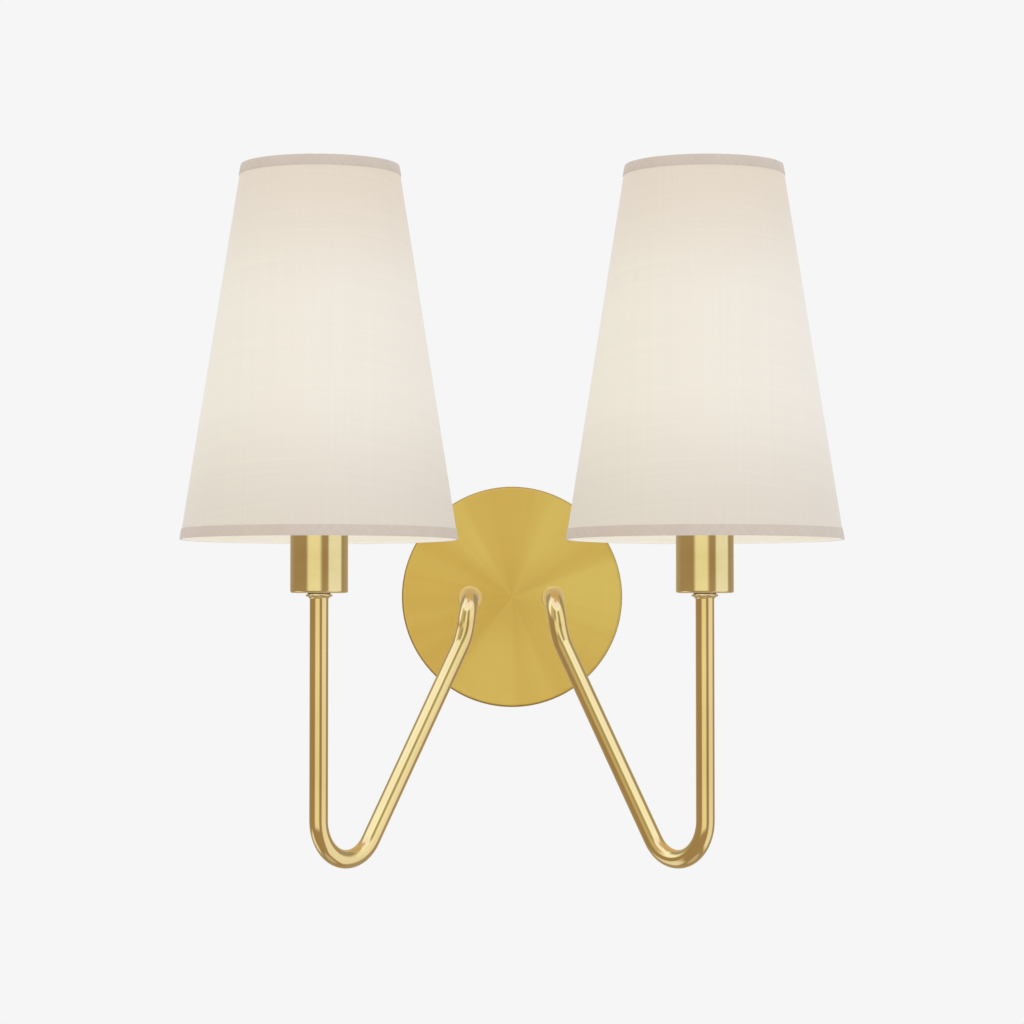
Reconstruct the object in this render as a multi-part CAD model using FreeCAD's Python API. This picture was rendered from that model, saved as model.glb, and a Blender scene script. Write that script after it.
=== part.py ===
"""Double arm wall sconce: two bent brass arms on a round backplate, with tapered fabric shades.

Millimetres. The origin is the centre of the wall face. +X is to the right, +Z is up and +Y points into
the wall, so the lamp stands out towards -Y.
"""
import FreeCAD, Part
import math
import os
from FreeCAD import Vector

# Backplate, a round pan whose open back lies against the wall
PLATE_RADIUS = 69.4
PLATE_DEPTH = 20.0
PLATE_WALL = 1.2
PLATE_EDGE_ROUND = 1.4

# Crossbar that the outlet box carries
BAR_WIDTH = 20.0
BAR_THICKNESS = 2.0
BAR_REACH = 66.5
BAR_EAR_DEPTH = 16.0
BAR_CENTRE_HOLE = 4.5
SLOT_SPACING = 88.9
SLOT_LENGTH = 14.0
SLOT_HALF_WIDTH = 2.4
SET_SCREW_RADIUS = 2.0
SET_SCREW_LENGTH = 8.0
SET_SCREW_Y = -10.0
SET_SCREW_SOCKET = 2.0
SET_SCREW_SOCKET_DEPTH = 2.5
SET_SCREW_INSET = 0.3
GROUND_SCREW_Z = -57.5
GROUND_SCREW_RADIUS = 2.0
GROUND_HEAD_RADIUS = 4.5
GROUND_HEAD_HEIGHT = 2.6
GROUND_HEAD_ROUND = 1.2
GROUND_RECESS_WIDTH = 1.0
GROUND_RECESS_DEPTH = 1.2
GROUND_WIRE_RADIUS = 0.8

# Arms
LAMP_X = 114.6
LAMP_Y = -136.0
TUBE_RADIUS = 5.55
BORE_RADIUS = 4.05
THREAD_RADIUS = 5.0
BEND_RADIUS = 24.0
BEND_CENTRE_Z = -134.3
ARM_HEADING = math.radians(47.9)
LEG_SLANT = math.radians(34.1)
KNEE_Z = -26.0
KNEE_RADIUS = 30.0
ELBOW_Y = -41.3
ELBOW_RADIUS = 18.0
EXIT_X = 26.2
EXIT_Z = -0.8
WALL_THREAD_LENGTH = 9.0
COLLAR_RADIUS = 7.6
COLLAR_LENGTH = 3.6
COLLAR_ROUND = 1.3
NUT_FLATS = 14.0
NUT_THICKNESS = 4.2
LOCK_WASHER_RADIUS = 8.5
LOCK_WASHER_THICKNESS = 1.0
LOCK_WASHER_TEETH = 12
LOCK_WASHER_NOTCH_WIDTH = 1.4
LOCK_WASHER_NOTCH_DEPTH = 1.0

# Neck and cup
TUBE_TOP_Z = -0.3
NECK_LENGTH = 2.6
NECK_LIP = 0.9
NECK_RADIUS = 7.9
NECK_WASHER_RADIUS = 6.8
CUP_BOTTOM_Z = 0.6
CUP_TOP_Z = 43.0
CUP_RADIUS = 17.2
CUP_WALL = 1.0
CUP_FLOOR = 1.2
CUP_EDGE_ROUND = 1.1
CUP_NUT_THICKNESS = 4.0
CUP_THREAD_TOP_Z = 14.0

# Lampholder
HOLDER_BOTTOM_Z = 7.0
HOLDER_BASE_RADIUS = 11.0
HOLDER_STEP_Z = 28.0
HOLDER_RADIUS = 14.0
HOLDER_FLANGE_RADIUS = 16.9
HOLDER_SEAT_Z = 45.0
HOLDER_TOP_Z = 58.0
HOLDER_CAVITY_RADIUS = 4.2
HOLDER_CAVITY_TOP_Z = 26.0
HOLDER_WELL_BOTTOM_Z = 36.0
HOLDER_WELL_RADIUS = 6.55
HOLDER_THREAD_PITCH = 2.0
HOLDER_THREAD_DEPTH = 0.6
HOLDER_THREAD_START = 0.7
SHELL_OUTER_RADIUS = 6.45
SHELL_INNER_RADIUS = 5.95
SHELL_BOTTOM_Z = 37.0
SHELL_TOP_Z = 54.5
SHELL_LIP_RADIUS = 3.6
SHELL_LIP_THICKNESS = 0.5
CONTACT_TOP_Z = 40.9
CONTACT_RADIUS = 2.6
CONTACT_THICKNESS = 0.6
RIVET_RADIUS = 1.2
RIVET_HEAD_THICKNESS = 0.9
TERMINAL_Z = 21.0
TERMINAL_RADIUS = 1.5
TERMINAL_TIP = 3.0
TERMINAL_HEAD_RADIUS = 2.8
TERMINAL_HEAD_LENGTH = 2.0

# Wires
WIRE_RADIUS = 1.0
WIRE_OFFSET = 1.6
WIRE_TOP_Z = 24.0
WIRE_TURN_Y = -6.0
WIRE_TURN_RADIUS = 7.0
WIRE_MEET_X = 1.3
WIRE_MEET_Y = -9.5
WIRE_MEET_Z = 14.0
WIRE_MEET_RADIUS = 10.0
WIRE_END_Z = 27.0
CONNECTOR_MOUTH_Z = 21.0
CONNECTOR_LENGTH = 22.0
CONNECTOR_MOUTH_RADIUS = 5.2
CONNECTOR_TIP_RADIUS = 3.8
CONNECTOR_SKIRT = 4.0
CONNECTOR_BORE_RADIUS = 3.7
CONNECTOR_BORE_DEPTH = 14.0
CONNECTOR_SPRING_RADIUS = 2.7
CONNECTOR_SPRING_DEPTH = 8.0
GROUND_WIRE_START_X = -3.0
GROUND_WIRE_LIFT_X = 12.0
GROUND_WIRE_DROP = 3.0
GROUND_WIRE_LIFT_RADIUS = 5.0
GROUND_WIRE_TURN_RADIUS = 4.5
GROUND_WIRE_REACH = 7.0
GROUND_CONNECTOR_X = 24.0
GROUND_CONNECTOR_MOUTH_Z = -44.0

# Shade
SHADE_BOTTOM_Z = 32.2
SHADE_TOP_Z = 255.9
SHADE_BOTTOM_RADIUS = 82.4
SHADE_TOP_RADIUS = 47.0
FABRIC_THICKNESS = 0.5
LINER_THICKNESS = 0.5
TRIM_THICKNESS = 0.4
TRIM_HEIGHT = 6.3
TRIM_TURN_IN = 5.0
TRIM_ROLL = 2.6
ROLL_MIDDLE = 1.6
RIM_WIRE_RADIUS = 0.9
HUB_BOTTOM_Z = 45.1
HUB_THICKNESS = 1.2
HUB_INNER_RADIUS = 14.5
HUB_OUTER_RADIUS = 21.0
SPOKE_RADIUS = 1.25
SPOKE_SINK = 0.1
SPOKE_FOOT_REACH = 17.8
SPOKE_BEND_REACH = 44.0
SPOKE_BEND_RADIUS = 12.0
SPOKE_ANGLES = (90.0, 210.0, 330.0)
HOOP_Z = 62.0
HOOP_GAP = 0.15
WASHER_RADIUS = 17.4
WASHER_THICKNESS = 0.8
RING_RADIUS = 18.0
RING_BORE_RADIUS = 14.08
RING_HEIGHT = 6.0
RING_GROOVES = 30
RING_GROOVE_RADIUS = 0.8
RING_GROOVE_OFFSET = 0.3
STACK_GAP = 0.1

# Bulb
CAP_RADIUS = 5.85
CAP_WALL = 0.3
CAP_BOTTOM_Z = 44.0
CAP_NECK_Z = 55.5
CAP_TOP_Z = 58.0
CAP_TOP_RADIUS = 6.3
INSULATOR_RIM = 0.4
INSULATOR_DEPTH = 2.5
TIP_BOTTOM_Z = 41.2
TIP_TOP_Z = 42.2
TIP_RADIUS = 2.0
TIP_BULGE = 0.35
GLASS_BOTTOM_Z = 50.0
GLASS_TOP_Z = 139.0
GLASS_RADIUS = 17.5
GLASS_NECK_RADIUS = 5.5
GLASS_WALL = 0.8
STEM_TOP_Z = 76.0
STEM_FLARE_RADIUS = 4.2
STEM_FLARE_HEIGHT = 9.0
STEM_LOW_RADIUS = 2.0
STEM_NECK_RADIUS = 1.6
STEM_PAD_RADIUS = 3.8
STEM_PAD_HEIGHT = 1.2
STEM_PAD_TAPER = 1.8
FILAMENT_TOP_Z = 112.0
FILAMENT_FOOT_X = 2.6
FILAMENT_FOOT_Z = 76.1
FILAMENT_TOP_X = 6.0
FILAMENT_RADIUS = 0.8
FILAMENT_BEND = 4.0

SIDES = {"left": -1, "right": 1}
CLOSE = 1e-6


def save(shape, node):
    """Writes one sub-part."""
    shape.exportStep("parts/" + node + ".step")


def outline(start, *steps):
    """Closed face in the XZ plane. A step is a point, or two points that are an arc's middle and end."""
    edges = []
    here = Vector(start[0], 0, start[1])
    first = here
    for step in steps:
        if isinstance(step[0], tuple):
            middle = Vector(step[0][0], 0, step[0][1])
            end = Vector(step[1][0], 0, step[1][1])
            edges.append(Part.Arc(here, middle, end).toShape())
        else:
            end = Vector(step[0], 0, step[1])
            edges.append(Part.LineSegment(here, end).toShape())
        here = end
    edges.append(Part.LineSegment(here, first).toShape())
    return Part.Face(Part.Wire(edges))


def turned(face):
    """Solid of revolution about the Z axis."""
    return face.revolve(Vector(0, 0, 0), Vector(0, 0, 1), 360)


def ring(outer, inner, low, high):
    """Plain ring about the Z axis."""
    return turned(outline((inner, low), (outer, low), (outer, high), (inner, high)))


def disc(radius, low, high):
    """Cylinder about the Z axis."""
    return Part.makeCylinder(radius, high - low, Vector(0, 0, low))


def hexagon(flats, bore, low, high):
    """Hexagon nut about the Z axis, with its corners turned off."""
    corner = flats / math.sqrt(3)
    points = [
        Vector(corner * math.cos(math.radians(a)), corner * math.sin(math.radians(a)), low)
        for a in range(0, 361, 60)
    ]
    nut = Part.Face(Part.makePolygon(points)).extrude(Vector(0, 0, high - low))
    bevel = corner - flats / 2
    blank = turned(outline(
        (bore, low), (flats / 2, low), (corner, low + bevel),
        (corner, high - bevel), (flats / 2, high), (bore, high),
    ))
    return nut.common(blank)


def circles(shape, radius, height):
    """Edges of a turned shape that are circles of this radius at this height."""
    found = []
    for edge in shape.Edges:
        curve = edge.Curve
        if isinstance(curve, Part.Circle) and abs(curve.Radius - radius) < CLOSE:
            if abs(curve.Center.z - height) < CLOSE:
                found.append(edge)
    return found


def outward(shape):
    """Turns a shape made along +Z so that it stands out from the wall, along -Y."""
    return shape.rotated(Vector(0, 0, 0), Vector(1, 0, 0), 90)


def at_exit(shape, side):
    """Puts an outward shape where an arm leaves the backplate."""
    return shape.translated(Vector(side * EXIT_X, 0, EXIT_Z))


def at_lamp(shape, side):
    """Puts a shape on a lamp's vertical axis."""
    return shape.translated(Vector(side * LAMP_X, LAMP_Y, 0))


def rounded_path(points, radii):
    """Straight runs through the points, with a tangent arc at each inner point."""
    edges = []
    start = points[0]
    for before, corner, after, radius in zip(points, points[1:], points[2:], radii):
        back = (before - corner).normalize()
        ahead = (after - corner).normalize()
        half = back.getAngle(ahead) / 2
        enter = corner + back * (radius / math.tan(half))
        leave = corner + ahead * (radius / math.tan(half))
        centre = corner + (back + ahead).normalize() * (radius / math.sin(half))
        middle = centre + (corner - centre).normalize() * radius
        edges.append(Part.LineSegment(start, enter).toShape())
        edges.append(Part.Arc(enter, middle, leave).toShape())
        start = leave
    edges.append(Part.LineSegment(start, points[-1]).toShape())
    return Part.Wire(edges)


def rod(path, radius):
    """Round rod along a path of runs and tangent arcs."""
    first = path.OrderedEdges[0]
    circle = Part.Circle(first.valueAt(first.FirstParameter), first.tangentAt(first.FirstParameter), radius)
    return path.makePipeShell([Part.Wire(circle.toShape())], True, False)


def group(shapes):
    """Several separate solids that share one sub-part."""
    return Part.makeCompound(shapes)


def arm_across(side):
    """Level direction square to the plane of an arm's two legs."""
    return Vector(side * -math.sin(ARM_HEADING), -math.cos(ARM_HEADING), 0)


def arm_corners(side):
    """Corners of an arm's route below the cup: foot of the U-bend, knee, elbow."""
    inward = Vector(side * -math.cos(ARM_HEADING), math.sin(ARM_HEADING), 0)
    leg = inward * math.sin(LEG_SLANT) + Vector(0, 0, math.cos(LEG_SLANT))
    drop = BEND_RADIUS * (1 + math.cos(LEG_SLANT)) / math.sin(LEG_SLANT)
    foot = Vector(side * LAMP_X, LAMP_Y, BEND_CENTRE_Z - drop)
    knee = foot + leg * ((KNEE_Z - foot.z) / leg.z)
    elbow = Vector(side * EXIT_X, ELBOW_Y, EXIT_Z)
    return [foot, knee, elbow]


ARM_RADII = [BEND_RADIUS, KNEE_RADIUS, ELBOW_RADIUS]


def make_backplate():
    """Round pan with two holes for the arms and two in its wall for the set screws."""
    inside = PLATE_RADIUS - PLATE_WALL
    pan = turned(outline(
        (0, PLATE_DEPTH), (PLATE_RADIUS, PLATE_DEPTH), (PLATE_RADIUS, 0), (inside, 0),
        (inside, PLATE_DEPTH - PLATE_WALL), (0, PLATE_DEPTH - PLATE_WALL),
    ))
    pan = pan.makeFillet(PLATE_EDGE_ROUND, circles(pan, PLATE_RADIUS, PLATE_DEPTH))
    pan = outward(pan)
    for side in SIDES.values():
        pan = pan.cut(at_exit(outward(disc(THREAD_RADIUS + 0.1, 0, PLATE_DEPTH + 1)), side))
    wall_hole = disc(SET_SCREW_RADIUS + 0.15, -PLATE_RADIUS - 1, PLATE_RADIUS + 1)
    return pan.cut(wall_hole.translated(Vector(0, SET_SCREW_Y, 0)))


def slot_cutter(z):
    """Slot through the crossbar that runs along Z."""
    straight = SLOT_LENGTH / 2 - SLOT_HALF_WIDTH
    cutter = Part.makeBox(
        2 * SLOT_HALF_WIDTH, 3 * BAR_THICKNESS, 2 * straight,
        Vector(-SLOT_HALF_WIDTH, -2 * BAR_THICKNESS, z - straight),
    )
    for end in (z - straight, z + straight):
        cutter = cutter.fuse(hole_through_bar(SLOT_HALF_WIDTH, end))
    return cutter


def hole_through_bar(radius, z):
    """Round cutter through the crossbar."""
    return Part.makeCylinder(radius, 3 * BAR_THICKNESS, Vector(0, -2 * BAR_THICKNESS, z), Vector(0, 1, 0))


def make_crossbar():
    """Strap with a bent ear at each end, box slots, centre hole, ground hole and tapped ears."""
    inner = BAR_REACH - BAR_THICKNESS
    left = -BAR_WIDTH / 2
    section = Part.makePolygon([
        Vector(left, 0, -BAR_REACH), Vector(left, 0, BAR_REACH),
        Vector(left, -BAR_EAR_DEPTH, BAR_REACH), Vector(left, -BAR_EAR_DEPTH, inner),
        Vector(left, -BAR_THICKNESS, inner), Vector(left, -BAR_THICKNESS, -inner),
        Vector(left, -BAR_EAR_DEPTH, -inner), Vector(left, -BAR_EAR_DEPTH, -BAR_REACH),
        Vector(left, 0, -BAR_REACH),
    ])
    bar = Part.Face(section).extrude(Vector(BAR_WIDTH, 0, 0))
    folds = [
        edge for edge in bar.Edges
        if abs(edge.Length - BAR_WIDTH) < CLOSE and abs(edge.CenterOfMass.y + BAR_THICKNESS) < CLOSE
    ]
    bar = bar.makeFillet(BAR_THICKNESS / 2, folds)
    for z in (-SLOT_SPACING / 2, SLOT_SPACING / 2):
        bar = bar.cut(slot_cutter(z))
    bar = bar.cut(hole_through_bar(BAR_CENTRE_HOLE, 0))
    bar = bar.cut(hole_through_bar(GROUND_SCREW_RADIUS, GROUND_SCREW_Z))
    tapped = disc(SET_SCREW_RADIUS, -BAR_REACH - 1, BAR_REACH + 1).translated(Vector(0, SET_SCREW_Y, 0))
    return bar.cut(tapped)


def make_set_screws():
    """Two grub screws with a hexagon socket, flush with the pan's wall."""
    screws = []
    outer_end = PLATE_RADIUS - SET_SCREW_INSET
    for end in (-1, 1):
        screw = disc(SET_SCREW_RADIUS, outer_end - SET_SCREW_LENGTH, outer_end)
        screw = screw.cut(hexagon(SET_SCREW_SOCKET, 0, outer_end - SET_SCREW_SOCKET_DEPTH, outer_end + 1))
        if end < 0:
            screw = screw.rotated(Vector(0, 0, 0), Vector(1, 0, 0), 180)
        screws.append(screw.translated(Vector(0, SET_SCREW_Y, 0)))
    return group(screws)


def make_arm_tube(side):
    """Bent tube whose ends are turned down and threaded."""
    top = Vector(side * LAMP_X, LAMP_Y, TUBE_TOP_Z)
    wall = Vector(side * EXIT_X, -PLATE_DEPTH, EXIT_Z)
    path = rounded_path([top] + arm_corners(side) + [wall], ARM_RADII)
    tube = rod(path, TUBE_RADIUS)
    top_thread = at_lamp(disc(THREAD_RADIUS, TUBE_TOP_Z, CUP_THREAD_TOP_Z), side)
    wall_end = PLATE_DEPTH - WALL_THREAD_LENGTH
    wall_thread = at_exit(outward(disc(THREAD_RADIUS, wall_end, PLATE_DEPTH)), side)
    tube = tube.fuse([top_thread, wall_thread])
    bore_top = Vector(side * LAMP_X, LAMP_Y, CUP_THREAD_TOP_Z)
    bore_wall = Vector(side * EXIT_X, -wall_end, EXIT_Z)
    bore = rod(rounded_path([bore_top] + arm_corners(side) + [bore_wall], ARM_RADII), BORE_RADIUS)
    return tube.cut(bore)


def make_collar():
    """Ring with a rounded front edge, brazed round the arm's wall end."""
    front = PLATE_DEPTH + COLLAR_LENGTH
    collar = ring(COLLAR_RADIUS, TUBE_RADIUS, PLATE_DEPTH, front)
    return outward(collar.makeFillet(COLLAR_ROUND, circles(collar, COLLAR_RADIUS, front)))


def make_wall_lock_washer():
    """Toothed washer between the pan and the nut."""
    back = PLATE_DEPTH - PLATE_WALL
    washer = ring(LOCK_WASHER_RADIUS, THREAD_RADIUS + 0.1, back - LOCK_WASHER_THICKNESS, back)
    notch = Part.makeBox(
        2 * LOCK_WASHER_NOTCH_DEPTH, LOCK_WASHER_NOTCH_WIDTH, 3 * LOCK_WASHER_THICKNESS,
        Vector(LOCK_WASHER_RADIUS - LOCK_WASHER_NOTCH_DEPTH, -LOCK_WASHER_NOTCH_WIDTH / 2,
               back - 2 * LOCK_WASHER_THICKNESS),
    )
    notches = [
        notch.rotated(Vector(0, 0, 0), Vector(0, 0, 1), 360 / LOCK_WASHER_TEETH * i)
        for i in range(LOCK_WASHER_TEETH)
    ]
    return outward(washer.cut(notches))


def make_wall_nut():
    """Nut that pulls the arm against the pan."""
    back = PLATE_DEPTH - PLATE_WALL - LOCK_WASHER_THICKNESS
    return outward(hexagon(NUT_FLATS, THREAD_RADIUS, back - NUT_THICKNESS, back))


def make_neck_ring():
    """Ring that flares from the tube to the cup's seat."""
    low = TUBE_TOP_Z - NECK_LENGTH
    lip = TUBE_TOP_Z - NECK_LIP
    return turned(outline(
        (TUBE_RADIUS, low), (TUBE_RADIUS + 0.3, low),
        ((TUBE_RADIUS + 0.9, low + 1.0), (NECK_RADIUS - 0.1, lip - 0.2)),
        ((NECK_RADIUS + 0.1, lip + 0.25), (NECK_RADIUS - 0.2, TUBE_TOP_Z)),
        (TUBE_RADIUS, TUBE_TOP_Z),
    ))


def make_neck_washer():
    """Thin spacer that leaves a dark line between neck ring and cup."""
    return ring(NECK_WASHER_RADIUS, THREAD_RADIUS, TUBE_TOP_Z, CUP_BOTTOM_Z)


def make_cup():
    """Straight cup with a flat floor."""
    inside = CUP_RADIUS - CUP_WALL
    floor_top = CUP_BOTTOM_Z + CUP_FLOOR
    hole = THREAD_RADIUS + 0.1
    cup = turned(outline(
        (hole, CUP_BOTTOM_Z), (CUP_RADIUS, CUP_BOTTOM_Z), (CUP_RADIUS, CUP_TOP_Z),
        (inside, CUP_TOP_Z), (inside, floor_top), (hole, floor_top),
    ))
    return cup.makeFillet(CUP_EDGE_ROUND, circles(cup, CUP_RADIUS, CUP_BOTTOM_Z))


def make_cup_nut():
    """Nut that clamps the cup on the arm's thread."""
    low = CUP_BOTTOM_Z + CUP_FLOOR
    return hexagon(NUT_FLATS, THREAD_RADIUS, low, low + CUP_NUT_THICKNESS)


def terminal(side, end, radius, start, stop):
    """Round bar across a lampholder, along the line of its two terminals."""
    along = arm_across(side) * end
    foot = Vector(side * LAMP_X, LAMP_Y, TERMINAL_Z) + along * start
    return Part.makeCylinder(radius, stop - start, foot, along)


def make_terminal_screws():
    """Two screws in each lampholder, each pressing on the end of a wire."""
    screws = []
    for side in SIDES.values():
        for end in (-1, 1):
            shank = terminal(side, end, TERMINAL_RADIUS, TERMINAL_TIP, HOLDER_BASE_RADIUS)
            head_end = HOLDER_BASE_RADIUS + TERMINAL_HEAD_LENGTH
            head = terminal(side, end, TERMINAL_HEAD_RADIUS, HOLDER_BASE_RADIUS, head_end)
            screws.append(shank.fuse(head))
    return group(screws)


def make_holder_body(side):
    """Insulating body: wire cavity below, well for the bulb above, outer thread for the shade ring."""
    root = HOLDER_RADIUS - HOLDER_THREAD_DEPTH
    teeth = []
    count = int((HOLDER_TOP_Z - HOLDER_SEAT_Z - 1) / HOLDER_THREAD_PITCH)
    for i in range(count):
        z = HOLDER_SEAT_Z + HOLDER_THREAD_START + i * HOLDER_THREAD_PITCH
        teeth += [
            (root, z),
            (HOLDER_RADIUS, z + HOLDER_THREAD_PITCH * 0.35),
            (HOLDER_RADIUS, z + HOLDER_THREAD_PITCH * 0.65),
        ]
    body = turned(outline(
        (THREAD_RADIUS, HOLDER_BOTTOM_Z), (HOLDER_BASE_RADIUS, HOLDER_BOTTOM_Z),
        (HOLDER_BASE_RADIUS, HOLDER_STEP_Z), (HOLDER_RADIUS, HOLDER_STEP_Z),
        (HOLDER_RADIUS, CUP_TOP_Z), (HOLDER_FLANGE_RADIUS, CUP_TOP_Z),
        (HOLDER_FLANGE_RADIUS, HOLDER_SEAT_Z), (root, HOLDER_SEAT_Z),
        *teeth,
        (root, HOLDER_TOP_Z), (HOLDER_WELL_RADIUS, HOLDER_TOP_Z),
        (HOLDER_WELL_RADIUS, HOLDER_WELL_BOTTOM_Z), (RIVET_RADIUS, HOLDER_WELL_BOTTOM_Z),
        (RIVET_RADIUS, HOLDER_CAVITY_TOP_Z), (HOLDER_CAVITY_RADIUS, HOLDER_CAVITY_TOP_Z),
        (HOLDER_CAVITY_RADIUS, CUP_THREAD_TOP_Z), (THREAD_RADIUS, CUP_THREAD_TOP_Z),
    ))
    body = at_lamp(body, side)
    for end in (-1, 1):
        body = body.cut(terminal(side, end, TERMINAL_RADIUS, TERMINAL_TIP, HOLDER_BASE_RADIUS + 1))
    return body


def make_holder_shell():
    """Threaded metal shell that grips the bulb's cap."""
    lip_top = SHELL_BOTTOM_Z + SHELL_LIP_THICKNESS
    return turned(outline(
        (SHELL_LIP_RADIUS, SHELL_BOTTOM_Z), (SHELL_OUTER_RADIUS, SHELL_BOTTOM_Z),
        (SHELL_OUTER_RADIUS, SHELL_TOP_Z), (SHELL_INNER_RADIUS, SHELL_TOP_Z),
        (SHELL_INNER_RADIUS, lip_top), (SHELL_LIP_RADIUS, lip_top),
    ))


def make_holder_contact():
    """Centre contact with the rivet that joins it to the live wire."""
    rivet_head = HOLDER_CAVITY_TOP_Z - RIVET_HEAD_THICKNESS
    contact_low = CONTACT_TOP_Z - CONTACT_THICKNESS
    return turned(outline(
        (0, rivet_head), (CONTACT_RADIUS, rivet_head), (CONTACT_RADIUS, HOLDER_CAVITY_TOP_Z),
        (RIVET_RADIUS, HOLDER_CAVITY_TOP_Z), (RIVET_RADIUS, contact_low), (CONTACT_RADIUS, contact_low),
        (CONTACT_RADIUS, CONTACT_TOP_Z), (0, CONTACT_TOP_Z),
    ))


def make_wire(side, level):
    """Wire from the lampholder through the arm to its connector: level 1 is above, -1 is below."""
    shift = arm_across(side) * (WIRE_OFFSET * -level)
    top = Vector(side * LAMP_X, LAMP_Y, WIRE_TOP_Z) + shift
    route = [top] + [corner + shift for corner in arm_corners(side)]
    route += [
        Vector(route[-1].x, WIRE_TURN_Y, EXIT_Z),
        Vector(side * WIRE_MEET_X, WIRE_MEET_Y, level * WIRE_MEET_Z),
        Vector(side * WIRE_MEET_X, WIRE_MEET_Y, level * WIRE_END_Z),
    ]
    return rod(rounded_path(route, ARM_RADII + [WIRE_TURN_RADIUS, WIRE_MEET_RADIUS]), WIRE_RADIUS)


def make_ground_wire():
    """Bare wire from under the ground screw to its connector."""
    beside = GROUND_SCREW_Z + GROUND_SCREW_RADIUS + GROUND_WIRE_RADIUS + 0.4
    on_bar = -BAR_THICKNESS - GROUND_WIRE_RADIUS - 0.1
    route = [
        Vector(GROUND_WIRE_START_X, on_bar, beside),
        Vector(GROUND_WIRE_LIFT_X, on_bar, beside),
        Vector(GROUND_CONNECTOR_X, WIRE_MEET_Y, beside - GROUND_WIRE_DROP),
        Vector(GROUND_CONNECTOR_X, WIRE_MEET_Y, GROUND_CONNECTOR_MOUTH_Z + GROUND_WIRE_REACH),
    ]
    return rod(rounded_path(route, [GROUND_WIRE_LIFT_RADIUS, GROUND_WIRE_TURN_RADIUS]), GROUND_WIRE_RADIUS)


def make_ground_screw():
    """Pan head screw in the crossbar, with a cross slot."""
    under_head = BAR_THICKNESS + 2 * GROUND_WIRE_RADIUS + 0.2
    head_top = under_head + GROUND_HEAD_HEIGHT
    head = ring(GROUND_HEAD_RADIUS, 0, under_head, head_top)
    head = head.makeFillet(GROUND_HEAD_ROUND, circles(head, GROUND_HEAD_RADIUS, head_top))
    screw = head.fuse(disc(GROUND_SCREW_RADIUS, 0, under_head))
    blade = Part.makeBox(
        GROUND_HEAD_RADIUS, GROUND_RECESS_WIDTH, GROUND_HEAD_HEIGHT,
        Vector(-GROUND_HEAD_RADIUS / 2, -GROUND_RECESS_WIDTH / 2, head_top - GROUND_RECESS_DEPTH),
    )
    for turn in (0, 90):
        screw = screw.cut(blade.rotated(Vector(0, 0, 0), Vector(0, 0, 1), turn))
    return outward(screw).translated(Vector(0, 0, GROUND_SCREW_Z))


def make_connector():
    """Twist-on wire connector standing on its mouth."""
    step = CONNECTOR_BORE_RADIUS - CONNECTOR_SPRING_RADIUS
    return turned(outline(
        (CONNECTOR_BORE_RADIUS, 0), (CONNECTOR_MOUTH_RADIUS, 0), (CONNECTOR_MOUTH_RADIUS, CONNECTOR_SKIRT),
        (CONNECTOR_TIP_RADIUS, CONNECTOR_LENGTH - 1), (CONNECTOR_TIP_RADIUS - 1, CONNECTOR_LENGTH),
        (0, CONNECTOR_LENGTH), (0, CONNECTOR_BORE_DEPTH), (CONNECTOR_SPRING_RADIUS, CONNECTOR_BORE_DEPTH),
        (CONNECTOR_SPRING_RADIUS, CONNECTOR_SPRING_DEPTH + step),
        (CONNECTOR_BORE_RADIUS, CONNECTOR_SPRING_DEPTH),
    ))


def make_connectors():
    """Live connector above the centre, neutral below it, earth at the lower right."""
    live = make_connector().translated(Vector(0, WIRE_MEET_Y, CONNECTOR_MOUTH_Z))
    neutral = make_connector().rotated(Vector(0, 0, 0), Vector(1, 0, 0), 180)
    neutral = neutral.translated(Vector(0, WIRE_MEET_Y, -CONNECTOR_MOUTH_Z))
    earth = make_connector().translated(Vector(GROUND_CONNECTOR_X, WIRE_MEET_Y, GROUND_CONNECTOR_MOUTH_Z))
    return group([live, neutral, earth])


def shade_radius(z):
    """Radius of the shade's outer face at a height."""
    share = (z - SHADE_BOTTOM_Z) / (SHADE_TOP_Z - SHADE_BOTTOM_Z)
    return SHADE_BOTTOM_RADIUS + (SHADE_TOP_RADIUS - SHADE_BOTTOM_RADIUS) * share


def shade_skin(inset, thickness):
    """Tapered wall, set in from the shade's outer face."""
    low = SHADE_BOTTOM_Z + TRIM_THICKNESS
    high = SHADE_TOP_Z - TRIM_THICKNESS
    return turned(outline(
        (shade_radius(low) - inset - thickness, low), (shade_radius(low) - inset, low),
        (shade_radius(high) - inset, high), (shade_radius(high) - inset - thickness, high),
    ))


def rim_wire(rim, inwards):
    """Wire inside the roll of a trim; inwards is 1 at the bottom rim and -1 at the top rim."""
    z = rim + inwards * ROLL_MIDDLE
    radius = shade_radius(z) - FABRIC_THICKNESS - LINER_THICKNESS - TRIM_ROLL / 2
    return Part.makeTorus(radius, RIM_WIRE_RADIUS, Vector(0, 0, z))


def rim_trim(rim, inwards):
    """Fabric tape folded over a rim: band outside, roll round the wire and turn-in inside."""
    edge = rim + inwards * TRIM_THICKNESS
    band = rim + inwards * TRIM_HEIGHT
    turn_in = rim + inwards * TRIM_TURN_IN
    middle = rim + inwards * ROLL_MIDDLE
    skin = FABRIC_THICKNESS + LINER_THICKNESS
    roll_side = (shade_radius(middle) - skin - TRIM_ROLL, middle)
    roll_foot = (shade_radius(rim) - skin - TRIM_ROLL * 0.4, rim)
    tape = turned(outline(
        (shade_radius(rim) + TRIM_THICKNESS, rim), (shade_radius(band) + TRIM_THICKNESS, band),
        (shade_radius(band), band), (shade_radius(edge), edge), (shade_radius(edge) - skin, edge),
        (shade_radius(turn_in) - skin, turn_in), (shade_radius(turn_in) - skin - TRIM_THICKNESS, turn_in),
        (roll_side, roll_foot),
    ))
    return tape.cut(rim_wire(rim, inwards))


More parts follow.
